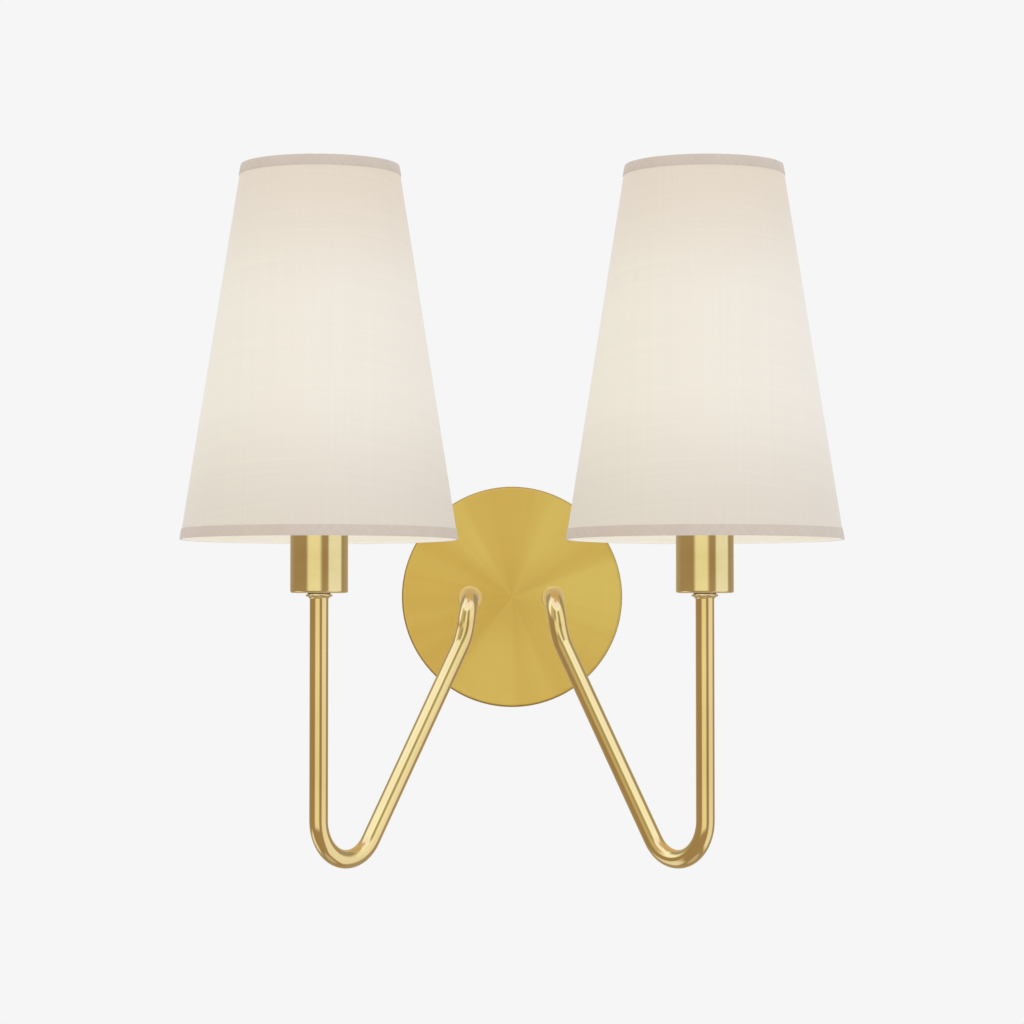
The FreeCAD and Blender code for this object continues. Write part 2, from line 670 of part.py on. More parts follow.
def make_fitter():
    """Hub ring, three bent spokes under it and the hoop that is glued inside the shade."""
    hub_top = HUB_BOTTOM_Z + HUB_THICKNESS
    fitter = ring(HUB_OUTER_RADIUS, HUB_INNER_RADIUS, HUB_BOTTOM_Z, hub_top)
    wall = shade_radius(HOOP_Z) - FABRIC_THICKNESS - LINER_THICKNESS
    hoop_radius = wall - SPOKE_RADIUS - HOOP_GAP
    level = hub_top - SPOKE_SINK - SPOKE_RADIUS
    foot = Vector(SPOKE_FOOT_REACH, 0, level)
    bend = Vector(SPOKE_BEND_REACH, 0, level)
    end = Vector(hoop_radius, 0, HOOP_Z)
    spoke = rod(rounded_path([foot, bend, end], [SPOKE_BEND_RADIUS]), SPOKE_RADIUS)
    pieces = [Part.makeTorus(hoop_radius, SPOKE_RADIUS, Vector(0, 0, HOOP_Z))]
    pieces += [spoke.rotated(Vector(0, 0, 0), Vector(0, 0, 1), angle) for angle in SPOKE_ANGLES]
    return fitter.fuse(pieces)


def make_shade_washer():
    """Thin washer between the fitter's hub and the ring."""
    low = HUB_BOTTOM_Z + HUB_THICKNESS + STACK_GAP
    return ring(WASHER_RADIUS, RING_BORE_RADIUS + 0.2, low, low + WASHER_THICKNESS)


def make_shade_ring():
    """Threaded ring with a grooved edge for the fingers."""
    low = HUB_BOTTOM_Z + HUB_THICKNESS + WASHER_THICKNESS + 2 * STACK_GAP
    grip = ring(RING_RADIUS, RING_BORE_RADIUS, low, low + RING_HEIGHT)
    groove = disc(RING_GROOVE_RADIUS, low - 1, low + RING_HEIGHT + 1)
    groove = groove.translated(Vector(RING_RADIUS + RING_GROOVE_OFFSET, 0, 0))
    grooves = [
        groove.rotated(Vector(0, 0, 0), Vector(0, 0, 1), 360 / RING_GROOVES * i) for i in range(RING_GROOVES)
    ]
    return grip.cut(grooves)


def make_bulb_cap():
    """Screw cap of the bulb."""
    inner = CAP_RADIUS - CAP_WALL
    return turned(outline(
        (inner, CAP_BOTTOM_Z), (CAP_RADIUS, CAP_BOTTOM_Z), (CAP_RADIUS, CAP_NECK_Z),
        (CAP_TOP_RADIUS, CAP_TOP_Z), (CAP_TOP_RADIUS - CAP_WALL, CAP_TOP_Z), (inner, CAP_NECK_Z),
    ))


def make_bulb_insulator():
    """Dark glass at the end of the cap."""
    inner = CAP_RADIUS - CAP_WALL
    top = CAP_BOTTOM_Z + INSULATOR_DEPTH
    return turned(outline(
        (0, TIP_TOP_Z), (TIP_RADIUS + INSULATOR_RIM, TIP_TOP_Z),
        (inner, CAP_BOTTOM_Z - INSULATOR_RIM), (inner, top), (0, top),
    ))


def make_bulb_contact():
    """Solder button at the end of the bulb."""
    return turned(outline(
        (0, TIP_BOTTOM_Z),
        ((TIP_RADIUS * 0.75, TIP_BOTTOM_Z + TIP_BULGE), (TIP_RADIUS, TIP_TOP_Z)),
        (0, TIP_TOP_Z),
    ))


def bulb_shape(inset):
    """Torpedo outline of the bulb, set in by a wall thickness."""
    neck = GLASS_NECK_RADIUS - inset
    low = GLASS_BOTTOM_Z + inset
    high = GLASS_TOP_Z - inset
    span = GLASS_TOP_Z - CAP_TOP_Z
    radius = GLASS_RADIUS - inset
    flank = Part.BSplineCurve()
    flank.interpolate(
        Points=[
            Vector(neck, 0, CAP_TOP_Z), Vector(radius * 0.68, 0, CAP_TOP_Z + span * 0.14),
            Vector(radius, 0, CAP_TOP_Z + span * 0.38), Vector(radius * 0.83, 0, CAP_TOP_Z + span * 0.66),
            Vector(radius * 0.36, 0, CAP_TOP_Z + span * 0.93), Vector(0, 0, high),
        ],
        InitialTangent=Vector(0, 0, 1),
        FinalTangent=Vector(-1, 0, 0),
    )
    inside = Part.makePolygon([
        Vector(0, 0, high), Vector(0, 0, low), Vector(neck, 0, low), Vector(neck, 0, CAP_TOP_Z),
    ])
    return turned(Part.Face(Part.Wire(inside.Edges + [flank.toShape()])))


def make_bulb_glass():
    """Hollow torpedo bulb."""
    return bulb_shape(0).cut(bulb_shape(GLASS_WALL))


def make_bulb_stem():
    """Glass mount that carries the filament."""
    low = GLASS_BOTTOM_Z + GLASS_WALL
    pad = STEM_TOP_Z - STEM_PAD_HEIGHT
    return turned(outline(
        (0, low), (STEM_FLARE_RADIUS, low), (STEM_LOW_RADIUS, low + STEM_FLARE_HEIGHT),
        (STEM_NECK_RADIUS, pad - STEM_PAD_TAPER), (STEM_PAD_RADIUS, pad), (STEM_PAD_RADIUS, STEM_TOP_Z),
        (0, STEM_TOP_Z),
    ))


def make_bulb_filament():
    """Hairpin of two glowing sticks."""
    path = rounded_path([
        Vector(-FILAMENT_FOOT_X, 0, FILAMENT_FOOT_Z), Vector(-FILAMENT_TOP_X, 0, FILAMENT_TOP_Z),
        Vector(FILAMENT_TOP_X, 0, FILAMENT_TOP_Z), Vector(FILAMENT_FOOT_X, 0, FILAMENT_FOOT_Z),
    ], [FILAMENT_BEND, FILAMENT_BEND])
    return rod(path, FILAMENT_RADIUS)


def save_wall_group():
    """Backplate, crossbar and everything hidden between them."""
    save(make_backplate(), "backplate")
    save(make_crossbar(), "wall_crossbar")
    save(make_set_screws(), "canopy_set_screws")
    save(make_ground_screw(), "ground_screw")
    save(make_ground_wire(), "ground_wire")
    save(make_connectors(), "wire_connectors")
    save(group([at_exit(make_wall_lock_washer(), s) for s in SIDES.values()]), "wall_lock_washers")
    save(group([at_exit(make_wall_nut(), s) for s in SIDES.values()]), "wall_lock_nuts")
    save(group([at_lamp(make_neck_washer(), s) for s in SIDES.values()]), "neck_washers")
    save(group([at_lamp(make_cup_nut(), s) for s in SIDES.values()]), "cup_lock_nuts")
    save(make_terminal_screws(), "terminal_screws")


def save_arm(name, side):
    """One arm with its cup, lampholder and wires."""
    save(make_arm_tube(side), name + "_arm_tube")
    save(at_exit(make_collar(), side), name + "_wall_collar")
    save(at_lamp(make_neck_ring(), side), name + "_neck_ring")
    save(at_lamp(make_cup(), side), name + "_socket_cup")
    save(make_holder_body(side), name + "_lampholder_body")
    save(at_lamp(make_holder_shell(), side), name + "_lampholder_shell")
    save(at_lamp(make_holder_contact(), side), name + "_lampholder_contact")
    save(make_wire(side, 1), name + "_live_wire")
    save(make_wire(side, -1), name + "_neutral_wire")


def save_shade(name, side):
    """One shade with its fitter, washer and ring."""
    save(at_lamp(shade_skin(0, FABRIC_THICKNESS), side), name + "_shade_fabric")
    save(at_lamp(shade_skin(FABRIC_THICKNESS, LINER_THICKNESS), side), name + "_shade_liner")
    for place, rim, inwards in (("bottom", SHADE_BOTTOM_Z, 1), ("top", SHADE_TOP_Z, -1)):
        save(at_lamp(rim_trim(rim, inwards), side), name + "_shade_" + place + "_trim")
        save(at_lamp(rim_wire(rim, inwards), side), name + "_shade_" + place + "_wire")
    save(at_lamp(make_fitter(), side), name + "_shade_fitter")
    save(at_lamp(make_shade_washer(), side), name + "_shade_washer")
    save(at_lamp(make_shade_ring(), side), name + "_shade_ring")


def save_bulb(name, side):
    """One candle bulb."""
    save(at_lamp(make_bulb_glass(), side), name + "_bulb_glass")
    save(at_lamp(make_bulb_cap(), side), name + "_bulb_cap")
    save(at_lamp(make_bulb_insulator(), side), name + "_bulb_insulator")
    save(at_lamp(make_bulb_contact(), side), name + "_bulb_contact")
    save(at_lamp(make_bulb_stem(), side), name + "_bulb_stem")
    save(at_lamp(make_bulb_filament(), side), name + "_bulb_filament")


def main():
    """Builds every sub-part."""
    os.makedirs("parts", exist_ok=True)
    save_wall_group()
    for name, side in SIDES.items():
        save_arm(name, side)
        save_shade(name, side)
        save_bulb(name, side)


main()
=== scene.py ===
"""Looks of a double arm wall sconce: brass plate, arms and cups, fabric shades, bulbs and fixings.

It is laid out as an add-on and run as a script. Metres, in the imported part's own frame: +X is to the
right, +Z is up and +Y points into the wall.
"""

import math

import bmesh
import bpy
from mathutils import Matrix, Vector


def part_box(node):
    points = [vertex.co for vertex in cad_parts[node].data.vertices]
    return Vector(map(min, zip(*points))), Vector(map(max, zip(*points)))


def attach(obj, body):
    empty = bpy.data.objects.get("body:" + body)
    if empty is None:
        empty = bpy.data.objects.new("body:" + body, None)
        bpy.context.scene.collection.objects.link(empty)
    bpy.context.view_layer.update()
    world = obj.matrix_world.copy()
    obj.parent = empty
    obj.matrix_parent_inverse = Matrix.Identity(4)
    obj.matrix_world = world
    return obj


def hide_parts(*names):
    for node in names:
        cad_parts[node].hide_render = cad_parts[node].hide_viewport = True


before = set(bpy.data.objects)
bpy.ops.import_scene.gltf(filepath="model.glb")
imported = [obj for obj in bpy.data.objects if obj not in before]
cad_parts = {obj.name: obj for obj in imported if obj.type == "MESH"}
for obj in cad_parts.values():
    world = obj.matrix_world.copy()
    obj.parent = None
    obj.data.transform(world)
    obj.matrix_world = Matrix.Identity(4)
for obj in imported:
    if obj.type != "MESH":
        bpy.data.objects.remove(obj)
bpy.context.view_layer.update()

bl_info = {
    "name": "Double Arm Wall Sconce",
    "version": (1, 0, 0),
    "blender": (4, 5, 0),
    "location": "View3D > Sidebar > Sconce",
    "description": "Models and finishes a wall sconce with two bent arms and tapered shades",
    "category": "Object",
}

SIDES = {"left": -1, "right": 1}
TURN = 2 * math.pi
SAME_POINT = 1e-6
CLEARANCE = 0.0001
TUBE_SIDES = 56
SHADE_SIDES = 192
THREAD_RUNS = (0.0143, 0.009)
FLOOR_DEPTH = 1.6
CAMERA_PLACE = (0, -2.06630, -0.02934)
CAMERA_TILT = math.radians(92.3151)
CAMERA_LENS = 114.19
SENSOR_WIDTH = 36
BLACK = (0.0, 0.0, 0.0)
SOFT_LIGHT = (0.86, 0.86, 0.86)


def middle(node):
    """Centre of a CAD node's box."""
    low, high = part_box(node)
    return (low + high) / 2


def reach(node):
    """Radius of an upright turned CAD node."""
    low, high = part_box(node)
    return (high.x - low.x) / 2


def lamp_axis(side):
    """Foot of a lamp's upright axis."""
    centre = middle(side + "_socket_cup")
    return Vector((centre.x, centre.y, 0))


# ------------------------------------------------------------------ settings

def length(name, description, default):
    """Length property in metres."""
    return bpy.props.FloatProperty(
        name=name, description=description, default=default, min=0, precision=5, unit="LENGTH",
    )


def angle(name, description, degrees):
    """Angle property."""
    return bpy.props.FloatProperty(
        name=name, description=description, default=math.radians(degrees), subtype="ANGLE",
    )


def colour(name, description, default):
    """Colour property."""
    return bpy.props.FloatVectorProperty(
        name=name, description=description, default=default, min=0, max=1, size=3, subtype="COLOR",
    )


class SconceSizes(bpy.types.PropertyGroup):
    """Sizes of the visible pieces."""

    plate_radius: length("Backplate radius", "Outer radius of the pan", reach("backplate"))
    plate_depth: length("Backplate depth", "How far the pan stands out", -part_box("backplate")[0].y)
    plate_wall: length("Backplate wall", "Thickness of the pan's sheet", 0.0012)
    plate_round: length("Backplate round", "Radius of the pan's front edge", 0.0014)
    tube_radius: length("Tube radius", "Outer radius of the arms", 0.00555)
    tube_wall: length("Tube wall", "Wall thickness of the arms", 0.0015)
    thread_radius: length("Thread radius", "Outer radius of the arms' threads", 0.005)
    bend_radius: length("Bend radius", "Radius of the U-bend's centre line", 0.024)
    bend_height: length("Bend depth", "Depth of the U-bend's centre below the origin", 0.1343)
    knee_depth: length("Knee depth", "Depth of the knee's corner below the origin", 0.026)
    knee_radius: length("Knee radius", "Radius of the knee", 0.030)
    elbow_reach: length("Elbow reach", "Distance of the elbow's corner from the wall", 0.0413)
    elbow_radius: length("Elbow radius", "Radius of the elbow", 0.018)
    arm_heading: angle("Arm heading", "Turn of each arm's plane away from the wall", 47.9)
    leg_slant: angle("Leg slant", "Slant of the rising leg in the arm's plane", 34.1)
    cup_wall: length("Cup wall", "Wall thickness of the cups", 0.001)
    fabric: length("Fabric thickness", "Thickness of the shade's cloth", 0.0005)
    tape: length("Tape thickness", "Thickness of the rim tape", 0.0004)
    tape_height: length("Tape height", "Height of the rim tape's outer band", 0.0063)
    tape_roll: length("Tape roll", "Thickness of the roll round the rim wire", 0.0026)
    seam_width: length("Seam width", "Width of the lapped seam at the back of a shade", 0.008)
    spoke_radius: length("Spoke radius", "Radius of the fitter's wire", 0.00125)
    spoke_foot: length("Spoke foot", "Where a spoke starts under the hub", 0.0178)
    spoke_bend: length("Spoke bend", "Where a spoke turns up towards the hoop", 0.044)


class SconceColours(bpy.types.PropertyGroup):
    """Colours of the finishes."""

    plate_brass: colour("Plate brass", "Spun brass of the backplate", (0.855, 0.638, 0.188))
    cup_brass: colour("Cup brass", "Turned brass of cups, rings and collars", (0.88, 0.73, 0.375))
    tube_brass: colour("Tube brass", "Drawn brass of the arms", (0.88, 0.69, 0.328))
    cloth: colour("Cloth", "Shade cloth by reflected light", (0.635, 0.55, 0.455))
    glow: colour("Glow", "Light that comes through the cloth", (0.86, 0.94, 0.84))
    tape: colour("Tape", "Rim tape", (0.68, 0.595, 0.52))
    liner: colour("Liner", "Inner sheet of the shades", (0.87, 0.86, 0.82))
    lamplight: colour("Lamplight", "Light of the bulbs", (1.0, 0.98, 0.95))
    background: colour("Background", "Floor and backdrop", (0.921, 0.921, 0.921))


def sizes():
    """The scene's size settings."""
    return bpy.context.scene.sconce_sizes


def tone(name):
    """One of the scene's colour settings."""
    return tuple(getattr(bpy.context.scene.sconce_colours, name))


# ------------------------------------------------------------------ modelling

def deselect_all():
    """Leaves edit mode and selects nothing."""
    if bpy.context.mode != "OBJECT":
        bpy.ops.object.mode_set(mode="OBJECT")
    bpy.ops.object.select_all(action="DESELECT")


def pick(piece):
    """Selects one object and makes it active."""
    deselect_all()
    piece.select_set(True)
    bpy.context.view_layer.objects.active = piece


def name_piece(name):
    """Names the new active object and its mesh."""
    piece = bpy.context.object
    piece.name = name
    piece.data.name = name
    return piece


def add_mesh(name, add, **settings):
    """Adds one of Blender's own meshes under a name."""
    deselect_all()
    add(**settings)
    return name_piece(name)


def settle(piece):
    """Puts an object's place, turn and scale into its mesh."""
    pick(piece)
    bpy.ops.object.transform_apply(location=True, rotation=True, scale=True)


def open_mesh(piece):
    """Opens a piece in edit mode with all of it selected."""
    pick(piece)
    bpy.ops.object.mode_set(mode="EDIT")
    bpy.ops.mesh.select_all(action="SELECT")


def close_mesh():
    """Leaves edit mode."""
    bpy.ops.object.mode_set(mode="OBJECT")


def smooth_shade(piece, degrees=32):
    """Smooths the edges that are gentler than an angle."""
    pick(piece)
    bpy.ops.object.shade_smooth_by_angle(angle=math.radians(degrees))


def face_outwards(piece):
    """Turns a mesh's faces outwards."""
    open_mesh(piece)
    bpy.ops.mesh.normals_make_consistent(inside=False)
    close_mesh()


def tidy_mesh(piece, degrees=32):
    """Merges doubles, turns faces outwards and smooths the gentle edges."""
    open_mesh(piece)
    bpy.ops.mesh.remove_doubles(threshold=SAME_POINT)
    bpy.ops.mesh.normals_make_consistent(inside=False)
    close_mesh()
    smooth_shade(piece, degrees)


def apply_modifier(piece, kind, **settings):
    """Adds a modifier with its settings and applies it."""
    pick(piece)
    modifier = piece.modifiers.new("shaping", kind)
    for key, value in settings.items():
        setattr(modifier, key, value)
    bpy.ops.object.modifier_apply(modifier=modifier.name)


def select_edges(piece, wanted):
    """Selects, in edit mode, the edges whose two ends pass a test."""
    bpy.ops.mesh.select_mode(type="EDGE")
    bpy.ops.mesh.select_all(action="DESELECT")
    mesh = bmesh.from_edit_mesh(piece.data)
    for edge in mesh.edges:
        if all(wanted(vert.co) for vert in edge.verts):
            edge.select_set(True)
    bmesh.update_edit_mesh(piece.data)


def start_ring(name, radius, height, segments):
    """Open ring about the Z axis, left selected in edit mode."""
    piece = add_mesh(name, bpy.ops.mesh.primitive_circle_add, vertices=segments, radius=radius, location=(0, 0, 0))
    bpy.ops.object.mode_set(mode="EDIT")
    bpy.ops.mesh.select_mode(type="VERT")
    bpy.ops.mesh.select_all(action="SELECT")
    bpy.ops.transform.translate(value=(0, 0, height))
    return piece


def draw_out(offset):
    """Draws the selection out by an offset, in edit mode."""
    bpy.ops.mesh.extrude_region_move(TRANSFORM_OT_translate={"value": tuple(offset)})


def turn_piece(name, profile, segments):
    """Turned piece: a ring is drawn out through the profile's radii and heights, and its ends are closed."""
    rings = [point for point in profile if point[0] > 0]
    piece = start_ring(name, rings[0][0], rings[0][1], segments)
    for before, after in zip(rings, rings[1:]):
        draw_out((0, 0, after[1] - before[1]))
        scale = after[0] / before[0]
        bpy.ops.transform.resize(value=(scale, scale, 1), center_override=(0, 0, after[1]))
    if profile[-1][0] == 0:
        close_pole(profile[-1][1] - rings[-1][1])
    if profile[0][0] == 0:
        select_edges(piece, at_radius(*rings[0]))
        close_pole(profile[0][1] - rings[0][1])
    close_mesh()
    return piece


def close_pole(rise):
    """Draws the selected ring out by a height and gathers it to a point."""
    draw_out((0, 0, rise))
    bpy.ops.mesh.merge(type="CENTER")


def round_edges(piece, wanted, width, segments):
    """Bevels the edges whose two ends pass a test."""
    open_mesh(piece)
    bpy.ops.mesh.remove_doubles(threshold=SAME_POINT)
    select_edges(piece, wanted)
    bpy.ops.mesh.bevel(offset=width, segments=segments)
    close_mesh()


def at_radius(radius, height):
    """Test for a point on one circle of a turned piece."""
    return lambda co: abs(co.xy.length - radius) < 2e-6 and abs(co.z - height) < 2e-6


def arc(centre, radius, start, end, steps):
    """Points of an arc in a profile, angles in degrees from the radius axis."""
    turns = [math.radians(start + (end - start) * i / steps) for i in range(steps + 1)]
    return [(centre[0] + radius * math.cos(t), centre[1] + radius * math.sin(t)) for t in turns]


def face_room(piece):
    """Turns an upright piece so that its top points out of the wall."""
    piece.rotation_euler = (math.radians(90), 0, 0)
    settle(piece)


def move_piece(piece, place):
    """Moves a piece and keeps its object at the origin."""
    piece.location = place
    settle(piece)


def copy_piece(piece, name):
    """Copy of a piece with its own mesh."""
    pick(piece)
    bpy.ops.object.duplicate()
    return name_piece(name)


def on_both_lamps(piece):
    """A left piece and its right copy, each moved to its own lamp's axis."""
    pair = {"left": piece, "right": copy_piece(piece, piece.name.replace("left", "right"))}
    for side, each in pair.items():
        move_piece(each, lamp_axis(side))
    return pair.items()


def cut_away(piece, cutter):
    """Cuts one piece out of another and removes the cutter."""
    apply_modifier(piece, "BOOLEAN", operation="DIFFERENCE", solver="EXACT", object=cutter)
    bpy.data.objects.remove(cutter)


def thicken(piece, thickness, offset):
    """Gives a sheet its wall."""
    apply_modifier(piece, "SOLIDIFY", thickness=thickness, offset=offset, use_even_offset=True)


def rod_between(name, start, end, radius, sides):
    """Round rod between two points."""
    run = end - start
    piece = add_mesh(name, bpy.ops.mesh.primitive_cylinder_add, vertices=sides, radius=radius, depth=run.length)
    piece.rotation_euler = run.to_track_quat("Z", "Y").to_euler()
    piece.location = (start + end) / 2
    settle(piece)
    return piece


def join_pieces(name, pieces):
    """Joins pieces into the first one."""
    pick(pieces[0])
    for piece in pieces[1:]:
        piece.select_set(True)
    bpy.ops.object.join()
    return name_piece(name)


def fit(piece, body, slot, material, *nodes):
    """Hands a finished piece to its body, with its finish and the CAD nodes that it stands for.

    Brass mirrors the studio alone, as in the photograph, so no piece shows in another's gloss.
    """
    piece.visible_glossy = False
    piece.data.materials.clear()
    piece.data.materials.append(material)
    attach(piece, body)
    if nodes:
        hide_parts(*nodes)


def refinish(material, *names):
    """Gives CAD nodes a better material. A name that starts with a line stands for both sides."""
    for name in names:
        for side in SIDES if name.startswith("_") else ("",):
            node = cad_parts[side + name]
            node.visible_glossy = False
            if not node.material_slots:
                node.data.materials.append(material)
            for slot in node.material_slots:
                slot.material = material


# ------------------------------------------------------------------ materials

def feed(tree, value, socket):
    """Gives an input a value or a colour, or joins another node's output to it."""
    if isinstance(value, bpy.types.NodeSocket):
        tree.links.new(value, socket)
    elif socket.type == "RGBA":
        socket.default_value = (*value, 1)
    else:
        socket.default_value = value


def put(tree, kind, inputs=None, **settings):
    """Adds a node with its settings, and values or sockets for its inputs."""
    made = tree.nodes.new(kind)
    for key, value in settings.items():
        setattr(made, key, value)
    for key, value in (inputs or {}).items():
        feed(tree, value, made.inputs[key])
    return made


def maths(tree, operation, first, second=0.0):
    """Maths on two values or sockets."""
    return put(tree, "ShaderNodeMath", {0: first, 1: second}, operation=operation).outputs[0]


def weigh(tree, first, share, second, other_share):
    """Sum of two values by their shares."""
    return maths(tree, "ADD", maths(tree, "MULTIPLY", first, share), maths(tree, "MULTIPLY", second, other_share))


def spread(tree, value, low, high, new_low=0.0, new_high=1.0, smooth=False):
    """Maps a value from one range to another."""
    return put(
        tree, "ShaderNodeMapRange",
        {"Value": value, "From Min": low, "From Max": high, "To Min": new_low, "To Max": new_high},
        interpolation_type="SMOOTHSTEP" if smooth else "LINEAR",
    ).outputs["Result"]


def blend(tree, share, first, second, mode="MIX"):
    """Mixes two colours or sockets by a share."""
    return put(tree, "ShaderNodeMix", {0: share, 6: first, 7: second}, data_type="RGBA", blend_type=mode).outputs[2]


def parts(tree, vector):
    """The three parts of a vector."""
    return put(tree, "ShaderNodeSeparateXYZ", {0: vector}).outputs


def vector_of(tree, x, y, z=0.0):
    """A vector from three values or sockets."""
    return put(tree, "ShaderNodeCombineXYZ", {0: x, 1: y, 2: z}).outputs[0]


def length_of(tree, vector):
    """Length of a vector."""
    return put(tree, "ShaderNodeVectorMath", {0: vector}, operation="LENGTH").outputs["Value"]


def stretched(tree, vector, scale):
    """A vector scaled part by part."""
    return put(tree, "ShaderNodeVectorMath", {0: vector, 1: scale}, operation="MULTIPLY").outputs[0]


def noise(tree, vector, scale=1.0, detail=2.0, roughness=0.5):
    """Soft noise at a scale."""
    inputs = {"Vector": vector, "Scale": scale, "Detail": detail, "Roughness": roughness}
    return put(tree, "ShaderNodeTexNoise", inputs).outputs["Fac"]


def object_place(tree):
    """Object coordinates."""
    return put(tree, "ShaderNodeTexCoord").outputs["Object"]


def centred(tree, centre):
    """Object coordinates measured from a piece's own axis."""
    away = tuple(-part for part in centre)
    return put(tree, "ShaderNodeMapping", {"Vector": object_place(tree), "Location": away}).outputs["Vector"]


def map_place(tree, name):
    """A piece's own map."""
    return put(tree, "ShaderNodeUVMap", uv_map=name).outputs[0]


def shade_of(base, factor):
    """A colour made lighter or darker."""
    return tuple(min(1.0, part * factor) for part in base)


def tint(base, *factors):
    """A colour with each part scaled on its own."""
    return tuple(min(1.0, part * factor) for part, factor in zip(base, factors))


def group_tree(name, inputs, outputs):
    """New shader node group with named sockets, as its tree and the two ends inside it."""
    tree = bpy.data.node_groups.new(name, "ShaderNodeTree")
    kinds = {"value": "NodeSocketFloat", "vector": "NodeSocketVector"}
    for label, kind, default in inputs:
        socket = tree.interface.new_socket(name=label, in_out="INPUT", socket_type=kinds[kind])
        if default is not None:
            socket.default_value = default
    for label in outputs:
        tree.interface.new_socket(name=label, in_out="OUTPUT", socket_type="NodeSocketFloat")
    return tree, tree.nodes.new("NodeGroupInput").outputs, tree.nodes.new("NodeGroupOutput").inputs


def make_grain_group():
    """Brush lines along a stretched pattern, with slow clouds in them."""
    tree, enter, leave = group_tree(
        "Brush lines", [("Vector", "vector", None), ("Clouds", "vector", None)], ["Lines", "Cloud"])
    both = weigh(tree, noise(tree, enter["Vector"], 1.0, 3.0, 0.65), 0.65,
                 noise(tree, enter["Vector"], 0.23, 1.0), 0.35)
    feed(tree, spread(tree, both, 0.3, 0.7), leave["Lines"])
    feed(tree, spread(tree, noise(tree, enter["Clouds"], 1.0, 2.0, 0.55), 0.3, 0.7), leave["Cloud"])
    return tree


def make_weave_group():
    """Plain weave of threads that vary in thickness and shade."""
    tree, enter, leave = group_tree(
        "Plain weave", [("Vector", "vector", None), ("Threads", "value", 2000.0)], ["Height", "Thread", "Slub"])
    place = parts(tree, enter["Vector"])
    warp, weft = [
        maths(tree, "SINE", maths(tree, "MULTIPLY", maths(tree, "MULTIPLY", side, enter["Threads"]), math.pi))
        for side in place[:2]
    ]
    feed(tree, spread(tree, maths(tree, "MULTIPLY", warp, weft), -1, 1), leave["Height"])
    streaks = [
        noise(tree, vector_of(tree, maths(tree, "MULTIPLY", place[0], wide), maths(tree, "MULTIPLY", place[1], tall)))
        for wide, tall in ((6.0, 420.0), (420.0, 6.0))
    ]
    both = maths(tree, "MULTIPLY", maths(tree, "ADD", *streaks), 0.5)
    feed(tree, spread(tree, both, 0.35, 0.65), leave["Thread"])
    feed(tree, spread(tree, streaks[0], 0.56, 0.72), leave["Slub"])
    return tree


def make_mottle_group():
    """Fine skin of a coat or moulding, with faint stains."""
    tree, enter, leave = group_tree("Mottle", [("Scale", "value", 400.0)], ["Grain", "Stain"])
    place = object_place(tree)
    feed(tree, spread(tree, noise(tree, place, enter["Scale"], 3.0), 0.3, 0.7), leave["Grain"])
    feed(tree, spread(tree, noise(tree, place, 24.0, 4.0), 0.35, 0.7), leave["Stain"])
    return tree


def use_group(tree, name, maker, inputs):
    """Outputs of a node group placed in a material. The group is made the first time that it is asked for."""
    group = bpy.data.node_groups.get(name) or maker()
    return put(tree, "ShaderNodeGroup", inputs, node_tree=group).outputs


def new_material(name, base, metallic, roughness, **constants):
    """Material with one Principled shader."""
    material = bpy.data.materials.new(name)
    material.use_nodes = True
    tree = material.node_tree
    shader = tree.nodes["Principled BSDF"]
    shader.inputs["Base Color"].default_value = (*base, 1)
    shader.inputs["Metallic"].default_value = metallic
    shader.inputs["Roughness"].default_value = roughness
    for key, value in constants.items():
        shader.inputs[key.replace("_", " ").title().replace("Ior", "IOR")].default_value = value
    return material, tree, shader.inputs


def dress(tree, shader, base, roughness, height, strength, distance):
    """Feeds a shader's colour and roughness, and its normal by a height."""
    feed(tree, base, shader["Base Color"])
    feed(tree, roughness, shader["Roughness"])
    bump = put(tree, "ShaderNodeBump", {"Strength": strength, "Distance": distance, "Height": height})
    feed(tree, bump.outputs["Normal"], shader["Normal"])


def brush_lines(tree, vector, clouds):
    """Brush lines and clouds on two stretched patterns."""
    return use_group(tree, "Brush lines", make_grain_group, {"Vector": vector, "Clouds": clouds})


def brushed_brass(name, base, vector_from, line_scale, cloud_scale, rough, bump=0.006):
    """Satin brass whose brush lines follow a stretched pattern."""
    material, tree, shader = new_material(name, base, 1.0, 0.15)
    vector = vector_from(tree)
    grain = brush_lines(tree, stretched(tree, vector, line_scale), stretched(tree, vector, cloud_scale))
    toned = blend(tree, grain["Cloud"], tint(base, 0.93, 0.91, 0.86), tint(base, 1.03, 1.04, 1.06))
    lined = blend(tree, maths(tree, "MULTIPLY", grain["Lines"], 0.16), toned, tint(base, 0.72, 0.68, 0.58))
    mixed = weigh(tree, grain["Lines"], 0.6, grain["Cloud"], 0.4)
    dress(tree, shader, lined, spread(tree, mixed, 0, 1, *rough), grain["Lines"], bump, 0.0002)
    return material


def turned_brass(name, base, centre):
    """Brass with the fine rings that a lathe leaves round an upright axis."""
    return brushed_brass(name, base, lambda tree: centred(tree, centre), (25, 25, 2600), (30, 30, 60),
                         rough=(0.09, 0.15), bump=0.012)


def drawn_brass(name, base):
    """Brass tube with faint lines along its length, on the tube's own map."""
    return brushed_brass(name, base, lambda tree: map_place(tree, "grain"), (1500, 25, 1), (60, 14, 1),
                         rough=(0.07, 0.13), bump=0.008)


